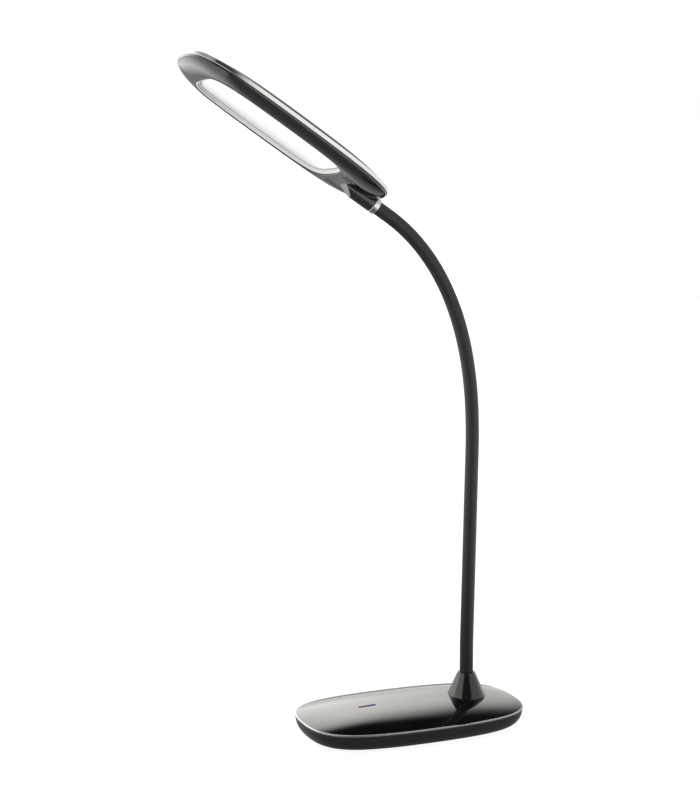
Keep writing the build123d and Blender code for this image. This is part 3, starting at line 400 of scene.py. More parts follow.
def new_material(name, constants):
    """A material with its node tree and its shader, whose constants are set."""
    material = bpy.data.materials.new(name)
    material.use_nodes = True
    shader = material.node_tree.nodes["Principled BSDF"]
    for label, value in constants.items():
        shader.inputs[label].default_value = value
    return material, material.node_tree, shader


def finish(name, dark, light, roughness, grain=(900.0, 0.0), patch_scale=25.0, **constants):
    """A principled finish: two close colours in patches, drifting roughness and a fine bump."""
    constants = {label.replace("_", " "): value for label, value in constants.items()}
    material, tree, shader = new_material(name, constants)
    drift = add(tree, "ShaderNodeGroup", node_tree=surface_drift)
    for label, value in (("Roughness Low", roughness[0]), ("Roughness High", roughness[1]),
                         ("Patch Scale", patch_scale), ("Grain Scale", grain[0])):
        drift.inputs[label].default_value = value
    tree.links.new(drift.outputs["Roughness"], shader.inputs["Roughness"])
    colour = ramp(tree, drift.outputs["Patch"], ((0.35, dark), (0.65, light)))
    tree.links.new(colour, shader.inputs["Base Color"])
    if grain[1] > 0:
        bump = add(tree, "ShaderNodeBump", {"Strength": grain[1], "Distance": 0.1 * MM,
                                            "Height": drift.outputs["Grain"]})
        tree.links.new(bump.outputs["Normal"], shader.inputs["Normal"])
    return material


print("nodes in the shared group:", len(surface_drift.nodes))

# %% [markdown]
# ## The lamp's finishes
# Each row gives a darker and a lighter colour, the range of roughness, and what else the finish
# needs. A grain is its scale and its strength.

# %% The table of finishes
BLACKS = ((0.0025, 0.0025, 0.0027), (0.0040, 0.0040, 0.0042))
FINISH_TABLE = {
    "gloss_black": (*BLACKS, (0.03, 0.05), dict(IOR=1.5)),
    "head_black": (*BLACKS, (0.06, 0.10), dict(IOR=1.34)),
    "satin_charcoal": ((0.0035, 0.0035, 0.0037), (0.0055, 0.0055, 0.006), (0.20, 0.26),
                       dict(grain=(2600.0, 0.15))),
    "bright_trim": ((0.34, 0.34, 0.345), (0.39, 0.39, 0.395), (0.08, 0.13), dict(Metallic=1.0)),
    "neck_rubber": ((0.0055,) * 3, (0.008,) * 3, (0.42, 0.52),
                    dict(grain=(3200.0, 0.3), patch_scale=60.0, IOR=1.36)),
    "pad_rubber": ((0.012,) * 3, (0.02,) * 3, (0.7, 0.85), dict(grain=(1500.0, 0.6))),
    "steel": ((0.42, 0.42, 0.43), (0.55, 0.55, 0.56), (0.25, 0.4),
              dict(grain=(2200.0, 0.2), Metallic=1.0)),
    "screw_steel": ((0.45, 0.44, 0.42), (0.6,) * 3, (0.2, 0.35),
                    dict(grain=(2000.0, 0.1), Metallic=1.0)),
    "ballast_iron": ((0.05,) * 3, (0.09, 0.085, 0.08), (0.6, 0.8),
                     dict(grain=(700.0, 0.8), Metallic=0.6)),
    "electrode_brass": ((0.62, 0.42, 0.16), (0.75, 0.55, 0.25), (0.2, 0.35),
                        dict(grain=(1800.0, 0.1), Metallic=1.0)),
    "green_board": ((0.01, 0.09, 0.03), (0.015, 0.13, 0.045), (0.25, 0.4),
                    dict(grain=(900.0, 0.1))),
    "white_board": ((0.78, 0.78, 0.76), (0.86, 0.86, 0.84), (0.35, 0.5), dict(grain=(900.0, 0.1))),
    "dark_parts": ((0.012,) * 3, (0.022,) * 3, (0.35, 0.5), dict(grain=(1800.0, 0.3))),
    "lead_pvc": ((0.03,) * 3, (0.05,) * 3, (0.4, 0.55), dict(grain=(1500.0, 0.2))),
    # pale_frame glows faintly: painted light, standing in for the window's light falling on the
    # frame.
    "pale_frame": ((0.20, 0.20, 0.19), (0.24, 0.24, 0.23), (0.45, 0.55),
                   dict(grain=(1600.0, 0.1), Emission_Color=(1.0, 1.0, 0.98, 1),
                        Emission_Strength=0.42)),
    "lamp_white": ((0.85, 0.8, 0.45), (0.92, 0.88, 0.6), (0.2, 0.3), dict(grain=(1500.0, 0.05))),
    "lamp_indicator": ((0.7, 0.3, 0.5), (0.8, 0.4, 0.6), (0.2, 0.3), dict(grain=(1500.0, 0.05))),
    "spreader_aluminium": ((0.6, 0.6, 0.61), (0.72, 0.72, 0.73), (0.25, 0.4),
                           dict(grain=(2400.0, 0.15), Metallic=1.0)),
}
FINISHES = {name: finish(name, dark, light, roughness, **others)
            for name, (dark, light, roughness, others) in FINISH_TABLE.items()}


def wear(piece, finish_name):
    """Give a piece one finish."""
    piece.data.materials.clear()
    piece.data.materials.append(FINISHES[finish_name])
    return piece


print("finishes so far:", len(FINISHES))

# %% [markdown]
# ## The window of light
# The opal window glows, but not evenly: it is whitest over the lamps and falls off towards its far
# side. A gradient across the head, long soft streaks and an attribute that darkens the sheet's rim
# drive the emission colour.

# %% The opal window's finish
def make_opal():
    """Opal plastic that glows in soft streaks and is dimmer along its far side and its rim."""
    material, tree, shader = new_material("opal_diffuser", {
        "Base Color": (0.06, 0.06, 0.06, 1), "Emission Strength": 0.86, "Roughness": 0.35})
    place = add(tree, "ShaderNodeTexCoord").outputs["Object"]
    stretch = add(tree, "ShaderNodeMapping", {"Vector": place, "Scale": (18.0, 60.0, 18.0)})
    streaks = noise(tree, stretch.outputs["Vector"], 1.0, 5.0)
    side = OPENING_HALF[1] * MM
    across = ranged(tree, split(tree, place, "Y"), -side, side)
    mottle = add(tree, "ShaderNodeMath", {0: streaks, 1: 0.10, 2: across}, operation="MULTIPLY_ADD")
    stops = [(position, (shade * 0.985, shade, shade * 0.995))
             for position, shade in ((0.35, 1.0), (0.70, 0.94), (0.88, 0.74))]
    stops = [(0.0, (0.93, 0.96, 0.96)), *stops, (1.0, (0.40, 0.42, 0.41))]
    rim = add(tree, "ShaderNodeAttribute", attribute_name="rim_shade").outputs["Color"]
    glow = dimmed(tree, ramp(tree, mottle.outputs["Value"], stops), rim)
    tree.links.new(glow, shader.inputs["Emission Color"])
    return material


FINISHES["opal_diffuser"] = make_opal()
print("nodes in the opal finish:", len(FINISHES["opal_diffuser"].node_tree.nodes))

# %% [markdown]
# ## The light in the touch slit
# The bar in the base's slit is lit in one colour at each end, and is dimmer on its far side.

# %% The touch slit's finish
def make_slit_glow():
    """Clear plastic lit red at one end and blue at the other."""
    material, tree, shader = new_material("clear_pipe", {
        "Base Color": (0.01, 0.01, 0.01, 1), "Emission Strength": 1.0, "Specular IOR Level": 0.0,
        "Roughness": 0.4})
    place = add(tree, "ShaderNodeTexCoord").outputs["Object"]
    across = ranged(tree, split(tree, place, "X"), (SLIT_X - SLIT_LENGTH / 2) * MM,
                    (SLIT_X + SLIT_LENGTH / 2) * MM)
    colour = ramp(tree, across, ((0.0, (0.22, 0.012, 0.05)), (0.30, (0.15, 0.015, 0.11)),
                                 (0.65, (0.06, 0.015, 0.18)), (1.0, (0.020, 0.015, 0.22))))
    depth = fade(tree, split(tree, place, "Y"), 0.1 * MM, 0.9 * MM, 1.0, 0.3)
    tree.links.new(dimmed(tree, colour, depth), shader.inputs["Emission Color"])
    return material


FINISHES["clear_pipe"] = make_slit_glow()
print("finishes:", len(FINISHES))

# %% [markdown]
# ## The base's cover
# The cover's height falls away late, with the cube of the way to the rim, so its middle is nearly
# flat and its edge rolls over. Rings close together near the rim keep that roll round.

# %% The base's dome
BASE_POWER = 3


def dome_height(share):
    """Height of the base cover's top at a share of the way to its rim."""
    return RIM_Z + BASE_RISE * (1 - share**BASE_POWER)


def domed_cover(name, half, fullness, rim_z, rise, wall, power, near_rim, place=None):
    """A domed cover: an upper and a lower skin that meet at the rim."""
    shares = [CENTRE, *np.linspace(0.08, 0.9, 26), *np.linspace(0.915, 1.0, near_rim)]
    upper = [ring(half * s, fullness, rim_z + rise * (1 - s**power)) for s in shares]
    lower = [ring((half - wall) * s, fullness, rim_z + (rise - wall) * (1 - s**power))
             for s in np.linspace(1, CENTRE, 16)]
    return loft(name, upper + lower, place=place)


def slit_outline(inset=0.0):
    """The slit's outline: a bar with round ends, narrowed by an inset."""
    radius = SLIT_WIDTH / 2 - inset
    straight = SLIT_LENGTH / 2 - SLIT_WIDTH / 2
    angles = np.linspace(-math.pi / 2, math.pi * 1.5, 64, endpoint=False)
    end = np.where(np.cos(angles) > 0, straight, -straight)
    return np.column_stack([SLIT_X + end + radius * np.cos(angles), radius * np.sin(angles)])


base_cover = domed_cover("base_cover", COVER_HALF, BASE_FULLNESS, RIM_Z, BASE_RISE, BASE_WALL,
                         BASE_POWER, 12)
cut(base_cover, loft("tool", [lift(slit_outline(), z) for z in (RIM_Z - 5, RIM_Z + 15)]))
wear(smooth(base_cover), "gloss_black")
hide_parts("base_top_cover")
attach(base_cover, "base")
print("cover polygons:", len(base_cover.data.polygons))

# %% [markdown]
# ## The base's ring and tray
# The bright ring has rounded outer edges and leaves a shadow gap under it. The tray below runs from
# its rim round a belly to a flat bottom, with the pocket of the rubber pad and the inlet's hole.

# %% The bright ring and the tray under it
GAP, RING_WALL, RING_EDGE, TRAY_EDGE = 0.3, 1.6, 0.45, 0.3


def make_base_ring():
    """Plated ring, with rounded outer edges and a shadow gap under it."""
    low, high, edge = RING_Z + GAP, RIM_Z, RING_EDGE
    section = arc(-edge, high - edge, edge, 90, 0) + arc(-edge, low + edge, edge, 0, -90)
    section += [(-RING_WALL, low), (-RING_WALL, high)]
    rings = [ring(BASE_HALF + a, BASE_FULLNESS, z) for a, z in section]
    return smooth(loft("base_ring", rings, joined=True))


def make_base_tray():
    """The lower shell: rim, round belly, flat bottom with the pad's pocket, and its inside."""
    shoulder = RING_Z - TRAY_EDGE

    def belly(wall, reverse=False):
        return [ring(TRAY_HALF - TRAY_TUCK * inward - wall, BASE_FULLNESS,
                     shoulder - (shoulder - FLOOR_Z - wall) * down)
                for inward, down in belly_shares(22, reverse)]

    rim = [ring(TRAY_HALF + a, BASE_FULLNESS, z)
           for a, z in arc(-TRAY_EDGE, shoulder, TRAY_EDGE, 90, 0)]
    top = [ring(TRAY_HALF - BASE_WALL, BASE_FULLNESS, RING_Z)]
    pad = TRAY_HALF - PAD_INSET
    pocket = [ring(pad * share, BASE_FULLNESS, FLOOR_Z + up)
              for share, up in ((1, 0), (1, PAD_POCKET), (CENTRE, PAD_POCKET))]
    hollow = [ring(pad * CENTRE, BASE_FULLNESS, FLOOR_Z + BASE_WALL)]
    tray = loft("base_tray",
                hollow + belly(BASE_WALL, reverse=True) + top + rim + belly(0.0) + pocket)
    hole = turned("tool", [(INLET_RADIUS, 75), (INLET_RADIUS, 100)], placed(0, 0, INLET_Z, 90), 64,
                  joined=False)
    return smooth(cut(tray, hole))


base_ring = wear(make_base_ring(), "bright_trim")
base_tray = wear(make_base_tray(), "satin_charcoal")
for piece, node in ((base_ring, "base_trim_ring"), (base_tray, "base_lower_shell")):
    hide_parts(node)
    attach(piece, "base")
print("ring and tray polygons:", [len(o.data.polygons) for o in (base_ring, base_tray)])

# %% [markdown]
# ## The bar in the slit
# The bar's top follows the dome a hair below it. A point's share of the way to the rim gives the
# dome's height there.

# %% Fill the touch slit
BAR_GAP, BAR_SINK, BAR_FOOT = 0.06, 0.08, 0.5


def share_at(x, y):
    """How far towards the cover's rim a point lies, from 0 to 1."""
    edge = outline(COVER_HALF, BASE_FULLNESS)
    angles = np.unwrap(np.arctan2(edge[:, 1], edge[:, 0]))
    reach = np.hypot(edge[:, 0], edge[:, 1])
    angle = np.mod(np.arctan2(y, x), 2 * math.pi)
    return np.hypot(x, y) / np.interp(angle, angles, reach, period=2 * math.pi)


def make_window():
    """Clear bar that fills the slit, its top following the dome a hair below it."""
    flat = slit_outline(BAR_GAP)
    middle = np.array([SLIT_X, 0])
    rings = [lift(flat, RIM_Z + BAR_FOOT)]
    for share in (1, 0.66, 0.33):
        inner = middle + (flat - middle) * share
        rings.append(lift(inner, dome_height(share_at(inner[:, 0], inner[:, 1])) - BAR_SINK))
    return smooth(loft("indicator_window", rings))


indicator_window = wear(make_window(), "clear_pipe")
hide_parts("indicator_light_pipe")
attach(indicator_window, "base")
print("the slit's middle is at share", round(float(share_at(SLIT_X, 0)), 3))

# %% [markdown]
# ## The collar
# A gloss cone holds the neck. Its foot follows the dome, and its mouth rolls in round the sleeve.

# %% The collar
FOOT_SINK, FOOT_ROUND, LIP, INNER_LIP = 0.05, 1.0, 0.45, 0.3
COLLAR_BORE, COLLAR_HOLLOW, COLLAR_CEILING = 5.5, 9.5, 27.5


def make_collar():
    """Gloss cone whose foot follows the dome, with a rounded shoulder and a rolled lip."""
    angles = np.linspace(0, 2 * math.pi, 128, endpoint=False)

    def circle(radius, z):
        return lift(np.column_stack([NECK_X + radius * np.cos(angles), radius * np.sin(angles)]), z)

    def on_dome(radius, up):
        flat = circle(radius, 0)
        return circle(radius, dome_height(share_at(flat[:, 0], flat[:, 1])) + up)

    foot, mouth = COLLAR_RADII
    slope = math.atan2(COLLAR_TOP_Z - COLLAR_FOOT_Z, foot - mouth)
    rings = [on_dome(COLLAR_HOLLOW, -FOOT_SINK), on_dome(foot - 0.15, -FOOT_SINK),
             on_dome(foot, 0.12)]
    for turn in np.linspace(0, math.pi / 2 - slope, 6):
        rings.append(circle(foot - FOOT_ROUND * (1 - math.cos(turn)),
                            COLLAR_FOOT_Z - 0.2 + FOOT_ROUND * math.sin(turn)))
    low_z, end_z = rings[-1][0][2], COLLAR_TOP_Z - LIP
    low_radius = rings[-1][0][0] - NECK_X
    for share in np.linspace(0.06, 1, 14):
        rings.append(circle(low_radius + (mouth - low_radius) * share,
                            low_z + (end_z - low_z) * share))
    rings += [circle(*place) for place in arc(mouth - LIP, end_z, LIP, 15, 90)]
    rings += [circle(*place) for place in arc(COLLAR_BORE + INNER_LIP, COLLAR_TOP_Z - INNER_LIP,
                                              INNER_LIP, 90, 180)]
    rings += [circle(COLLAR_BORE, COLLAR_CEILING), circle(COLLAR_HOLLOW, COLLAR_CEILING)]
    return smooth(loft("neck_cone", rings, joined=True), 40)


neck_cone = wear(make_collar(), "gloss_black")
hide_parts("neck_collar")
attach(neck_cone, "base")
print("collar polygons:", len(neck_cone.data.polygons))

# %% [markdown]
# ## Repeats with Geometry Nodes
# The sleeve and the vents each come from one Geometry Nodes tree with named inputs. What a tree
# makes is turned into plain mesh at once.

# %% Helpers for Geometry Nodes
def geometry_tree(name, inputs):
    """An empty tree with named inputs, and the outputs that hand them on."""
    tree = bpy.data.node_groups.new(name, "GeometryNodeTree")
    for label, kind, value in inputs:
        socket = tree.interface.new_socket(label, in_out="INPUT", socket_type="NodeSocket" + kind)
        if value is not None:
            socket.default_value = value
    tree.interface.new_socket("Result", in_out="OUTPUT", socket_type="NodeSocketGeometry")
    return tree, tree.nodes.new("NodeGroupInput").outputs


def end_tree(tree, geometry, material):
    """Make the instances real, give them their finish and hand them out."""
    real = add(tree, "GeometryNodeRealizeInstances", {"Geometry": geometry}).outputs["Geometry"]
    dressed = add(tree, "GeometryNodeSetMaterial", {"Geometry": real, "Material": material})
    add(tree, "NodeGroupOutput", {"Result": dressed.outputs["Geometry"]})
    return tree


def run_tree(name, tree, mesh, finish_name):
    """A piece made by a tree out of a mesh, as plain mesh with one finish."""
    piece = show(name, mesh)
    modifier = piece.modifiers.new("tree", "NODES")
    modifier.node_group = tree
    for item in tree.interface.items_tree:
        if item.item_type == "SOCKET" and item.in_out == "INPUT" and item.name == "Finish":
            modifier[item.identifier] = FINISHES[finish_name]
    return apply_modifiers(piece)


def tube_tree():
    """A tree that sweeps a path into a tube."""
    tree, given = geometry_tree("sleeve_tube", (
        ("Path", "Geometry", None), ("Radius", "Float", SLEEVE_RADIUS * MM),
        ("Points Round", "Int", 48), ("Finish", "Material", None)))
    path = add(tree, "GeometryNodeMeshToCurve", {"Mesh": given["Path"]})
    circle = add(tree, "GeometryNodeCurvePrimitiveCircle",
                 {"Radius": given["Radius"], "Resolution": given["Points Round"]})
    tube = add(tree, "GeometryNodeCurveToMesh",
               {"Curve": path.outputs["Curve"], "Profile Curve": circle.outputs["Curve"],
                "Fill Caps": True})
    shaded = add(tree, "GeometryNodeSetShadeSmooth", {"Geometry": tube.outputs["Mesh"]})
    return end_tree(tree, shaded.outputs["Geometry"], given["Finish"])


sleeve_tree = tube_tree()
print("nodes in the sleeve's tree:", len(sleeve_tree.nodes))

# %% [markdown]
# ## The rubber sleeve
# One long tube would tear when the neck is bent, and rigid lengths would show gaps. So the sleeve
# is cut in the middle of each link, and each length holds the one joint inside it.
# Only the ninth station is an elbow, two rigid lengths and a ball, because a length blended there
# tears at one extreme bend.

# %% Sweep the sleeve, one length for each joint
POINT_SPACE, BLEND_REACH, BALL_SINK, SLEEVE_ANGLE = 0.2, 17.0, 0.04, 60
ELBOW = "link_08"


def point_at(distance):
    """Place on the neck's centre line, in metres."""
    return Vector((np.interp(distance, neck[:, 3], neck[:, 0]), 0,
                   np.interp(distance, neck[:, 3], neck[:, 1]))) * MM


def sleeve_length(name, start, end):
    """Sweep one length of the sleeve along the centre line, from start to end."""
    inside = neck[(neck[:, 3] > start + POINT_SPACE) & (neck[:, 3] < end - POINT_SPACE)]
    path = [point_at(start), *(Vector((x, 0, z)) * MM for x, z, _, _ in inside), point_at(end)]
    mesh = bpy.data.meshes.new(name)
    mesh.from_pydata(path, [(i, i + 1) for i in range(len(path) - 1)], [])
    length = smooth(run_tree(name, sleeve_tree, mesh, "neck_rubber"), SLEEVE_ANGLE)
    return length


def sleeve_elbow(name, distance):
    """A ball just inside the sleeve, which fills the elbow between two rigid lengths."""
    ball = turned(name, arc(0, 0, SLEEVE_RADIUS - BALL_SINK, -90, 90, 33),
                  Matrix.Translation(point_at(distance)), 48, joined=False)
    return wear(smooth(ball, SLEEVE_ANGLE), "neck_rubber")


bodies = ["base"] + [f"link_{k:02d}" for k in range(1, 11)] + ["head"]
cuts = [0.0] + [(a + b) / 2 for a, b in zip(joint_at, joint_at[1:])] + [neck[-1][3]]
for k, joint in enumerate(joint_at):
    name = f"neck_sleeve_{k + 1:02d}"
    node = f"gooseneck_sleeve_{k + 1:02d}" if k < 10 else "gooseneck_sleeve_head"
    start, end = cuts[k], cuts[k + 1]
    if bodies[k] == ELBOW:
        for sleeve, body in ((sleeve_length(name, start, joint), bodies[k]),
                             (sleeve_elbow(name + "_elbow", joint), bodies[k]),
                             (sleeve_length(name + "_upper", joint, end), bodies[k + 1])):
            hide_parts(node)
            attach(sleeve, body)
        continue
    sleeve = sleeve_length(name, start, end)
    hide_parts(node)
    if k == 0:
        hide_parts("gooseneck_sleeve_base")
    low, high = max(start, joint - BLEND_REACH), min(end, joint + BLEND_REACH)
    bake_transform(sleeve)
print("sleeve stations:", k + 1, "polygons in the last:", len(sleeve.data.polygons))

# %% [markdown]
# ## The vents' tool
# Two rows of rounded slots on each side let the lamps' warmth out. A tree sets out one row, and the
# row then cuts the shell at one stroke.

# %% Geometry Nodes: a row of vents
VENT_START, VENT_PITCH, VENT_COUNT = -54.1, 1.85, 10
VENT_ROWS, VENT_SIZE, VENT_CORNER, VENT_DEPTH = (15.5, 21.0), (1.35, 2.8), 0.45, 3.0


def vent_tree():
    """A tree that sets out a row of rounded slots and turns them into one cutting tool."""
    tree, given = geometry_tree("vent_row", (
        ("Base", "Geometry", None), ("Count", "Int", VENT_COUNT),
        ("Pitch", "Float", VENT_PITCH * MM), ("Slot Length", "Float", VENT_SIZE[0] * MM),
        ("Slot Width", "Float", VENT_SIZE[1] * MM), ("Corner", "Float", VENT_CORNER * MM),
        ("Finish", "Material", None)))
    offset = add(tree, "ShaderNodeCombineXYZ",
                 {"X": combine(tree, "MULTIPLY", given["Pitch"], -1.0)})
    row = add(tree, "GeometryNodeMeshLine",
              {"Count": given["Count"], "Offset": offset.outputs["Vector"]}, mode="OFFSET")
    shape = add(tree, "GeometryNodeCurvePrimitiveQuadrilateral",
                {"Width": given["Slot Length"], "Height": given["Slot Width"]})
    fillet = add(tree, "GeometryNodeFilletCurve",
                 {"Curve": shape.outputs["Curve"], "Radius": given["Corner"], "Count": 5},
                 mode="POLY")
    depth = add(tree, "GeometryNodeCurvePrimitiveLine",
                {"Start": (0, 0, -VENT_DEPTH * MM), "End": (0, 0, VENT_DEPTH * MM)})
    slot = add(tree, "GeometryNodeCurveToMesh",
               {"Curve": depth.outputs["Curve"], "Profile Curve": fillet.outputs["Curve"],
                "Fill Caps": True})
    slots = add(tree, "GeometryNodeInstanceOnPoints",
                {"Points": row.outputs["Mesh"], "Instance": slot.outputs["Mesh"]})
    return end_tree(tree, slots.outputs["Instances"], given["Finish"])


vents_tree = vent_tree()


def vent_tool(y):
    """The cutting tool for one row, in the head's frame."""
    tool = run_tree("tool", vents_tree, bpy.data.meshes.new("tool"), "gloss_black")
    weld(tool.data)
    tool.data.transform(HEAD @ placed(VENT_START, y, UNDERSIDE))
    return tool


print("nodes in the vents' tree:", len(vents_tree.nodes))

# %% [markdown]
# ## The head's lower shell
# The hardest skin runs from the rim round the belly to a flat underside, in through the window's
# edge and back up inside. A round fairing for the neck is joined on, and its bore and the vents are
# cut out.

# %% The head's lower shell
SHELL_EDGE, WINDOW_EDGE, SOCKET_EDGE = 0.2, 0.3, 0.3
CRADLE_X, CRADLE_Z = -82.7, -5.0  # in front of this the fairing is open on top
RAMP_SLOPE = math.tan(math.radians(30))
NOTCH_RADIUS, BORE_RADIUS = 6.6, 4.6


def make_head_shell():
    """Rim, belly, flat underside, window edge and inside, as one skin."""
    shoulder = BAND_LOW - SHELL_EDGE

    def belly(inset, reverse=False):
        return [ring(COVERED_HALF - SHELL_TUCK * inward - inset,
                     HEAD_FULLNESS + (FLAT_FULLNESS - HEAD_FULLNESS) * inward,
                     shoulder - (SHELL_DEPTH - SHELL_EDGE - inset) * down)
                for inward, down in belly_shares(30, reverse)]

    rim = [ring(COVERED_HALF + a, HEAD_FULLNESS, z)
           for a, z in arc(-SHELL_EDGE, shoulder, SHELL_EDGE, 90, 0, 4)]
    top = [ring(COVERED_HALF - SHELL_WALL, HEAD_FULLNESS, BAND_LOW)]
    window = [ring(OPENING_HALF - a, OPENING_FULLNESS, UNDERSIDE - b, OPENING_X)
              for a, b in arc(-WINDOW_EDGE, -WINDOW_EDGE, WINDOW_EDGE, 90, 0, 5)]
    window.append(ring(OPENING_HALF, OPENING_FULLNESS, UNDERSIDE + SHELL_WALL, OPENING_X))
    skin = top + rim + belly(0.0) + window + belly(SHELL_WALL, reverse=True)[:-1]
    return loft("head_shell", skin, joined=True, place=HEAD)


def make_socket():
    """Round fairing under the head's rear end, with a sloped front."""
    angles = np.linspace(0, 2 * math.pi, 96, endpoint=False)
    turns = np.linspace(0, math.pi / 2, 5)
    closed = [RING_FRONT_X + SOCKET_EDGE * (1 - math.cos(turn)) for turn in turns]
    closed += list(np.linspace(RING_FRONT_X + 1, CRADLE_X, 4))
    stations = closed + list(np.linspace(CRADLE_X + 0.01, RAMP_X - 0.05, 40))
    rings = []
    for number, x in enumerate(stations):
        into_edge = max(0.0, 1 - (x - RING_FRONT_X) / SOCKET_EDGE)
        radius = SOCKET_RADIUS - SOCKET_EDGE * (1 - math.sqrt(1 - into_edge**2))
        top = CRADLE_Z if number >= len(closed) else SOCKET_Z + SOCKET_RADIUS
        low = UNDERSIDE - max(0.0, RAMP_X - x) * RAMP_SLOPE
        z = np.clip(SOCKET_Z + radius * np.sin(angles), low, top)
        rings.append(np.column_stack([np.full(len(angles), x), radius * np.cos(angles), z]))
    return loft("tool", rings, place=HEAD)


head_shell = make_head_shell()
cut(head_shell, make_socket(), "UNION")
notch = HEAD @ placed(RING_FRONT_X, 0, SOCKET_Z, -90)
for radius, low, high, count in ((NOTCH_RADIUS, 0, 20, 64), (BORE_RADIUS, -16, 1, 48)):
    cut(head_shell, turned("tool", [(radius, low), (radius, high)], notch, count, joined=False))
for row in VENT_ROWS:
    for side in (-1, 1):
        cut(head_shell, vent_tool(side * row))
wear(smooth(head_shell, 30), "gloss_black")
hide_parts("head_lower_shell")
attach(head_shell, "head")
print("shell polygons:", len(head_shell.data.polygons))

# %% [markdown]
# ## The head's cover and band
# The cover is a second dome, flatter and squarer than the base's. A bright band runs round the head
# between it and the shell.

# %% The head's cover and band
HEAD_POWER, BAND_WALL, BAND_EDGE = 4, 1.2, 0.35


def make_head_band():
    """Plated band round the head's edge."""
    low, high, edge = BAND_LOW + BAND_EDGE, BAND_HIGH - BAND_EDGE, BAND_EDGE
    section = arc(-edge, high, edge, 90, 0) + [(0.0, high - 0.05), (0.0, low + 0.05)]
    section += arc(-edge, low, edge, 0, -90) + [(-BAND_WALL, BAND_LOW), (-BAND_WALL, BAND_HIGH)]
    rings = [ring(HEAD_HALF + a, HEAD_FULLNESS, z) for a, z in section]
    return smooth(loft("head_band", rings, joined=True, place=HEAD))


head_cover = smooth(domed_cover("head_cover", COVERED_HALF, HEAD_FULLNESS, BAND_HIGH, HEAD_RISE,
                                HEAD_WALL, HEAD_POWER, 14, HEAD))
wear(head_cover, "head_black")
head_band = wear(make_head_band(), "bright_trim")
for piece, node in ((head_cover, "head_top_cover"), (head_band, "head_trim_band")):
    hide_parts(node)
    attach(piece, "head")
print("cover and band polygons:", [len(o.data.polygons) for o in (head_cover, head_band)])

# %% [markdown]
# ## The window's frame and sheet
# A pale frame lines the opening, and the opal sheet lies in it. The frame's faint glow is painted
# light, standing in for the window's light falling on it. An attribute on the sheet darkens its
# glow outside the lit face.

# %% The window's frame and diffuser
FRAME_UP, FRAME_WALL, FRAME_EDGE, LENS_EDGE, RIM_SHADE = 0.9, 1.2, 0.25, 0.3, 0.3


def make_window_frame():
    """Pale frame that lines the opening; its finish glows faintly as painted light from the window.
    """
    low, high, edge = UNDERSIDE + FRAME_UP, LENS_Z[1], FRAME_EDGE
    section = arc(-edge, low + edge, edge, 0, -90, 5)
    section += arc(edge - FRAME_WALL, low + edge, edge, -90, -180, 5)
    section += [(-FRAME_WALL, high), (0.0, high)]
    rings = [ring(OPENING_HALF - 0.15 + a, OPENING_FULLNESS, z, OPENING_X) for a, z in section]
    return smooth(loft("window_frame", rings, joined=True, place=HEAD))


def make_diffuser():
    """Opal sheet, flat with a rounded edge."""
    half, edge = OPENING_HALF - 1.5, LENS_EDGE
    low, high = LENS_Z
    lit = [(half - edge) * share for share in (CENTRE, 0.4, 0.8)] + [half - 2.0]
    outer = [(half - 1.6, low)]
    outer += [(half + a, z) for a, z in arc(-edge, low + edge, edge, -90, 0, 5)]
    outer += [(half, high), (half * CENTRE, high)]
    rings = [ring(size, OPENING_FULLNESS, z, OPENING_X)
             for size, z in [(size, low) for size in lit] + outer]
    piece = smooth(loft("diffuser", rings, place=HEAD))
    shade = piece.data.attributes.new("rim_shade", "FLOAT", "POINT")
    shade.data.foreach_set("value", np.repeat([1.0] * len(lit) + [RIM_SHADE] * len(outer), AROUND))
    return piece


window_frame = wear(make_window_frame(), "pale_frame")
diffuser = wear(make_diffuser(), "opal_diffuser")
for piece, node in ((window_frame, "lens_frame"), (diffuser, "diffuser_lens")):
    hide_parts(node)
    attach(piece, "head")
print("frame and sheet polygons:", [len(o.data.polygons) for o in (window_frame, diffuser)])

# %% [markdown]
# ## The ring between neck and head
# It is turned and plated, with a hole for the grub screw that holds it.

# %% The neck's ring
NECK_RING_EDGE, GRUB_RADIUS = 0.45, 0.95


def make_neck_ring():
    """Turned and plated ring with rounded corners and the grub screw's hole."""
    radius, length, edge = SOCKET_RADIUS, RING_FRONT_X - RING_BACK_X, NECK_RING_EDGE
    profile = [(BORE_RADIUS, 0.0), *arc(radius - edge, edge, edge, -90, 0),
               *arc(radius - edge, length - edge, edge, 0, 90), (BORE_RADIUS, length)]
    piece = turned("neck_ring", profile, HEAD @ placed(RING_BACK_X, 0, SOCKET_Z, 90))
    middle = HEAD @ placed((RING_FRONT_X + RING_BACK_X) / 2, 0, SOCKET_Z, -135, "X")
    cut(piece, turned("tool", [(GRUB_RADIUS, 3.5), (GRUB_RADIUS, 8)], middle, 32, joined=False))
    return smooth(piece)


neck_ring = wear(make_neck_ring(), "bright_trim")
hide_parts("ferrule_ring")
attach(neck_ring, "head")
print("ring polygons:", len(neck_ring.data.polygons))

# %% [markdown]
# ## Finishes for the solids inside
# What is hidden keeps the solid's own mesh, and gets the finish that its slot names. Only the grub
# screw has been blackened.

# %% Dress the remaining solids
slots = {part["node"]: part["material_slot"] for part in frame["record"]["subparts"]}
BLACKENED = ("ferrule_set_screw",)
kept = {name: node for name, node in frame["nodes"].items() if not node.hide_render}
for name, node in kept.items():
    node.data.materials.clear()
    node.data.materials.append(FINISHES["dark_parts" if name in BLACKENED else slots[name]])
print("solids dressed as they are:", len(kept))

# %% [markdown]
# ## The studio's floor
# Gloss black shows only what it mirrors, so the studio is drawn by its reflections. The floor looks
# white to the camera, but in the lamp's mirrors it is dark close by and bright to the left, to the
# right and far away.

# %% The floor and the overhead sun
REACH = 6.0                       # metres from the middle to each side
TOWARDS_VIEWER, TO_THE_RIGHT = (-0.374, -0.927, 0.0), (0.927, -0.374, 0.0)
FLOOR_SEEN = 0.93                 # how much it glows for the camera


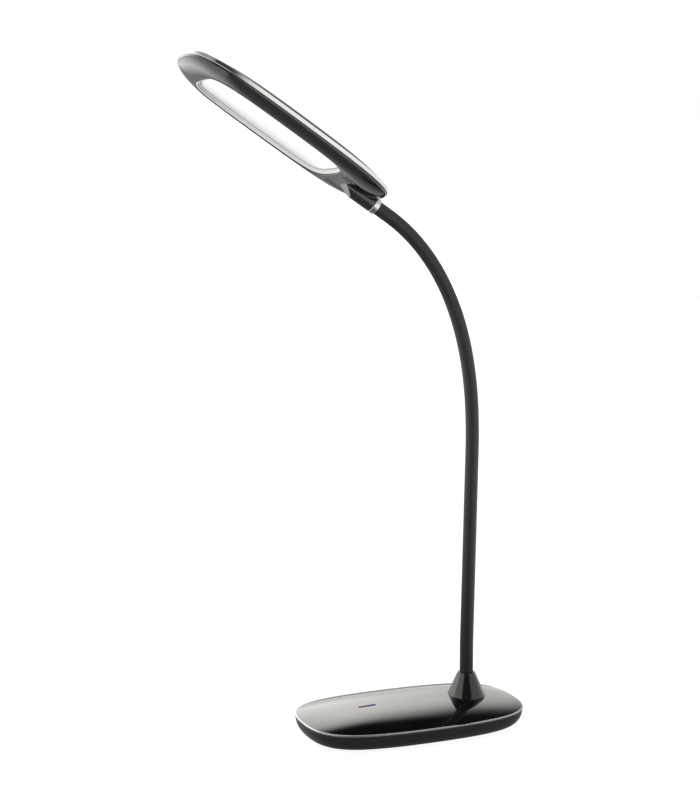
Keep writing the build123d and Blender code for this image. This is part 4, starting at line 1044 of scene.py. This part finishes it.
def make_floor_finish():
    """Pale floor that is lit a little from within, and dark close to the lamp in its mirrors."""
    material = finish("floor_white", (0.115,) * 3, (0.125,) * 3, (0.6, 0.7),
                      Emission_Color=(1, 1, 1, 1), Specular_IOR_Level=0.0)
    tree = material.node_tree
    place = add(tree, "ShaderNodeTexCoord").outputs["Object"]
    reach = add(tree, "ShaderNodeVectorMath", {0: place}, operation="LENGTH").outputs["Value"]
    away = towards(tree, place, TO_THE_RIGHT)
    slant = towards(tree, place, Vector(TOWARDS_VIEWER) * 0.5 - Vector(TO_THE_RIGHT))
    left = combine(tree, "MULTIPLY", fade(tree, away, -0.36, -0.58, 0.0, 2.2),
                   fade(tree, slant, 0.0, 0.5))
    mirrored = combine(tree, "MAXIMUM", left, fade(tree, away, 0.1, 0.4, 0.0, 1.9),
                       fade(tree, reach, 0.10, 0.40, 0.20, 0.36), fade(tree, reach, 1.5, 5.0))
    seen = add(tree, "ShaderNodeLightPath").outputs["Is Camera Ray"]
    glow = add(tree, "ShaderNodeMix", {"Factor": seen, "A": mirrored, "B": FLOOR_SEEN},
               data_type="FLOAT")
    tree.links.new(glow.outputs["Result"],
                   tree.nodes["Principled BSDF"].inputs["Emission Strength"])
    return material


floor_mesh = bpy.data.meshes.new("floor")
floor_mesh.from_pydata([(x * REACH, y * REACH, 0) for x, y in ((-1, -1), (1, -1), (1, 1), (-1, 1))],
                       [], [(0, 1, 2, 3)])
floor_mesh.materials.append(make_floor_finish())
floor = show("floor", floor_mesh)
sun_data = bpy.data.lights.new("overhead", "SUN")
sun_data.angle, sun_data.energy = math.radians(60), 3.1
sun = show("overhead", sun_data)
sun.visible_glossy = False
print("floor:", 2 * REACH, "m wide; sun:", round(sun_data.energy, 2))

# %% [markdown]
# ## The studio's walls
# A bright wall with a wide softbox stands behind the lamp, and softer walls left and right. The
# viewer's side is mostly dark. All of it is one sky, because a lamp with edges would put hard lines
# in every curved gloss surface.

# %% The sky
world = bpy.data.worlds.new("studio")
bpy.context.scene.world = world
world.use_nodes = True
sky = world.node_tree
direction = add(sky, "ShaderNodeTexCoord").outputs["Generated"]
height = split(sky, direction, "Z")
viewer, right = towards(sky, direction, TOWARDS_VIEWER), towards(sky, direction, TO_THE_RIGHT)
behind, front = fade(sky, viewer, 0.15, -0.15), fade(sky, viewer, 0.2, 0.5)
WALLS = (  # along, where it starts and ends, height where it starts and ends to fade, brightness
    (right, -0.35, -0.60, 0.55, 0.88, 2.0),
    (right, 0.35, 0.6, 0.60, 0.85, 1.3),
    (viewer, 0.0, 0.3, 0.08, 0.30, 0.7),
    (viewer, 0.0, 0.3, 0.70, 0.90, 0.13),
)
back_wall = combine(sky, "MULTIPLY", fade(sky, height, 0.35, 0.68, 1.5, 0.0), behind,
                    fade(sky, right, 0.16, 0.30, 1.0, 0.22))
walls = [combine(sky, "MULTIPLY", fade(sky, axis, start, end),
                 fade(sky, height, low, high, brightness, 0.0))
         for axis, start, end, low, high, brightness in WALLS]
low_right = combine(sky, "MULTIPLY", fade(sky, right, 0.15, 0.5),
                    fade(sky, height, 0.12, 0.42, 2.3, 0.0), front)
high_left = combine(sky, "MULTIPLY", fade(sky, right, -0.05, -0.3),
                    fade(sky, height, 0.5, 0.64, 0.0, 0.8), front)
softbox = combine(sky, "MULTIPLY", fade(sky, right, 0.2, -0.12, 0.0, 1.9),
                  fade(sky, height, 0.08, 0.3), fade(sky, height, 0.64, 0.5), behind)
total = combine(sky, "MAXIMUM", back_wall, *walls, low_right, high_left)
seen = add(sky, "ShaderNodeLightPath").outputs["Is Camera Ray"]
strength = combine(sky, "MAXIMUM", combine(sky, "ADD", total, softbox), seen)
colour = add(sky, "ShaderNodeMix", {"Factor": seen, "A": (1.0, 0.98, 0.94, 1), "B": (1, 1, 1, 1)},
             data_type="RGBA")
background = sky.nodes["Background"]
sky.links.new(strength, background.inputs["Strength"])
sky.links.new(colour.outputs["Result"], background.inputs["Color"])
print("nodes in the sky:", len(sky.nodes))

# %% [markdown]
# ## The camera
# It stands a little over a metre away and looks slightly down.

# %% Aim the camera
CAMERA_AT, LOOKS_AT = Vector((-479.1, -1059.6, 391.2)) * MM, Vector((-51.0, 0.0, 263.0)) * MM
camera_data = bpy.data.cameras.new("camera")
camera_data.lens, camera_data.sensor_width = 67.9, 36.0
camera = show("camera", camera_data)
camera.location = CAMERA_AT
camera.rotation_euler = (LOOKS_AT - CAMERA_AT).to_track_quat("-Z", "Y").to_euler()
bpy.context.scene.camera = camera
bpy.context.scene.view_settings.view_transform = "Standard"
print("the camera is", round((LOOKS_AT - CAMERA_AT).length, 3), "m from what it looks at")
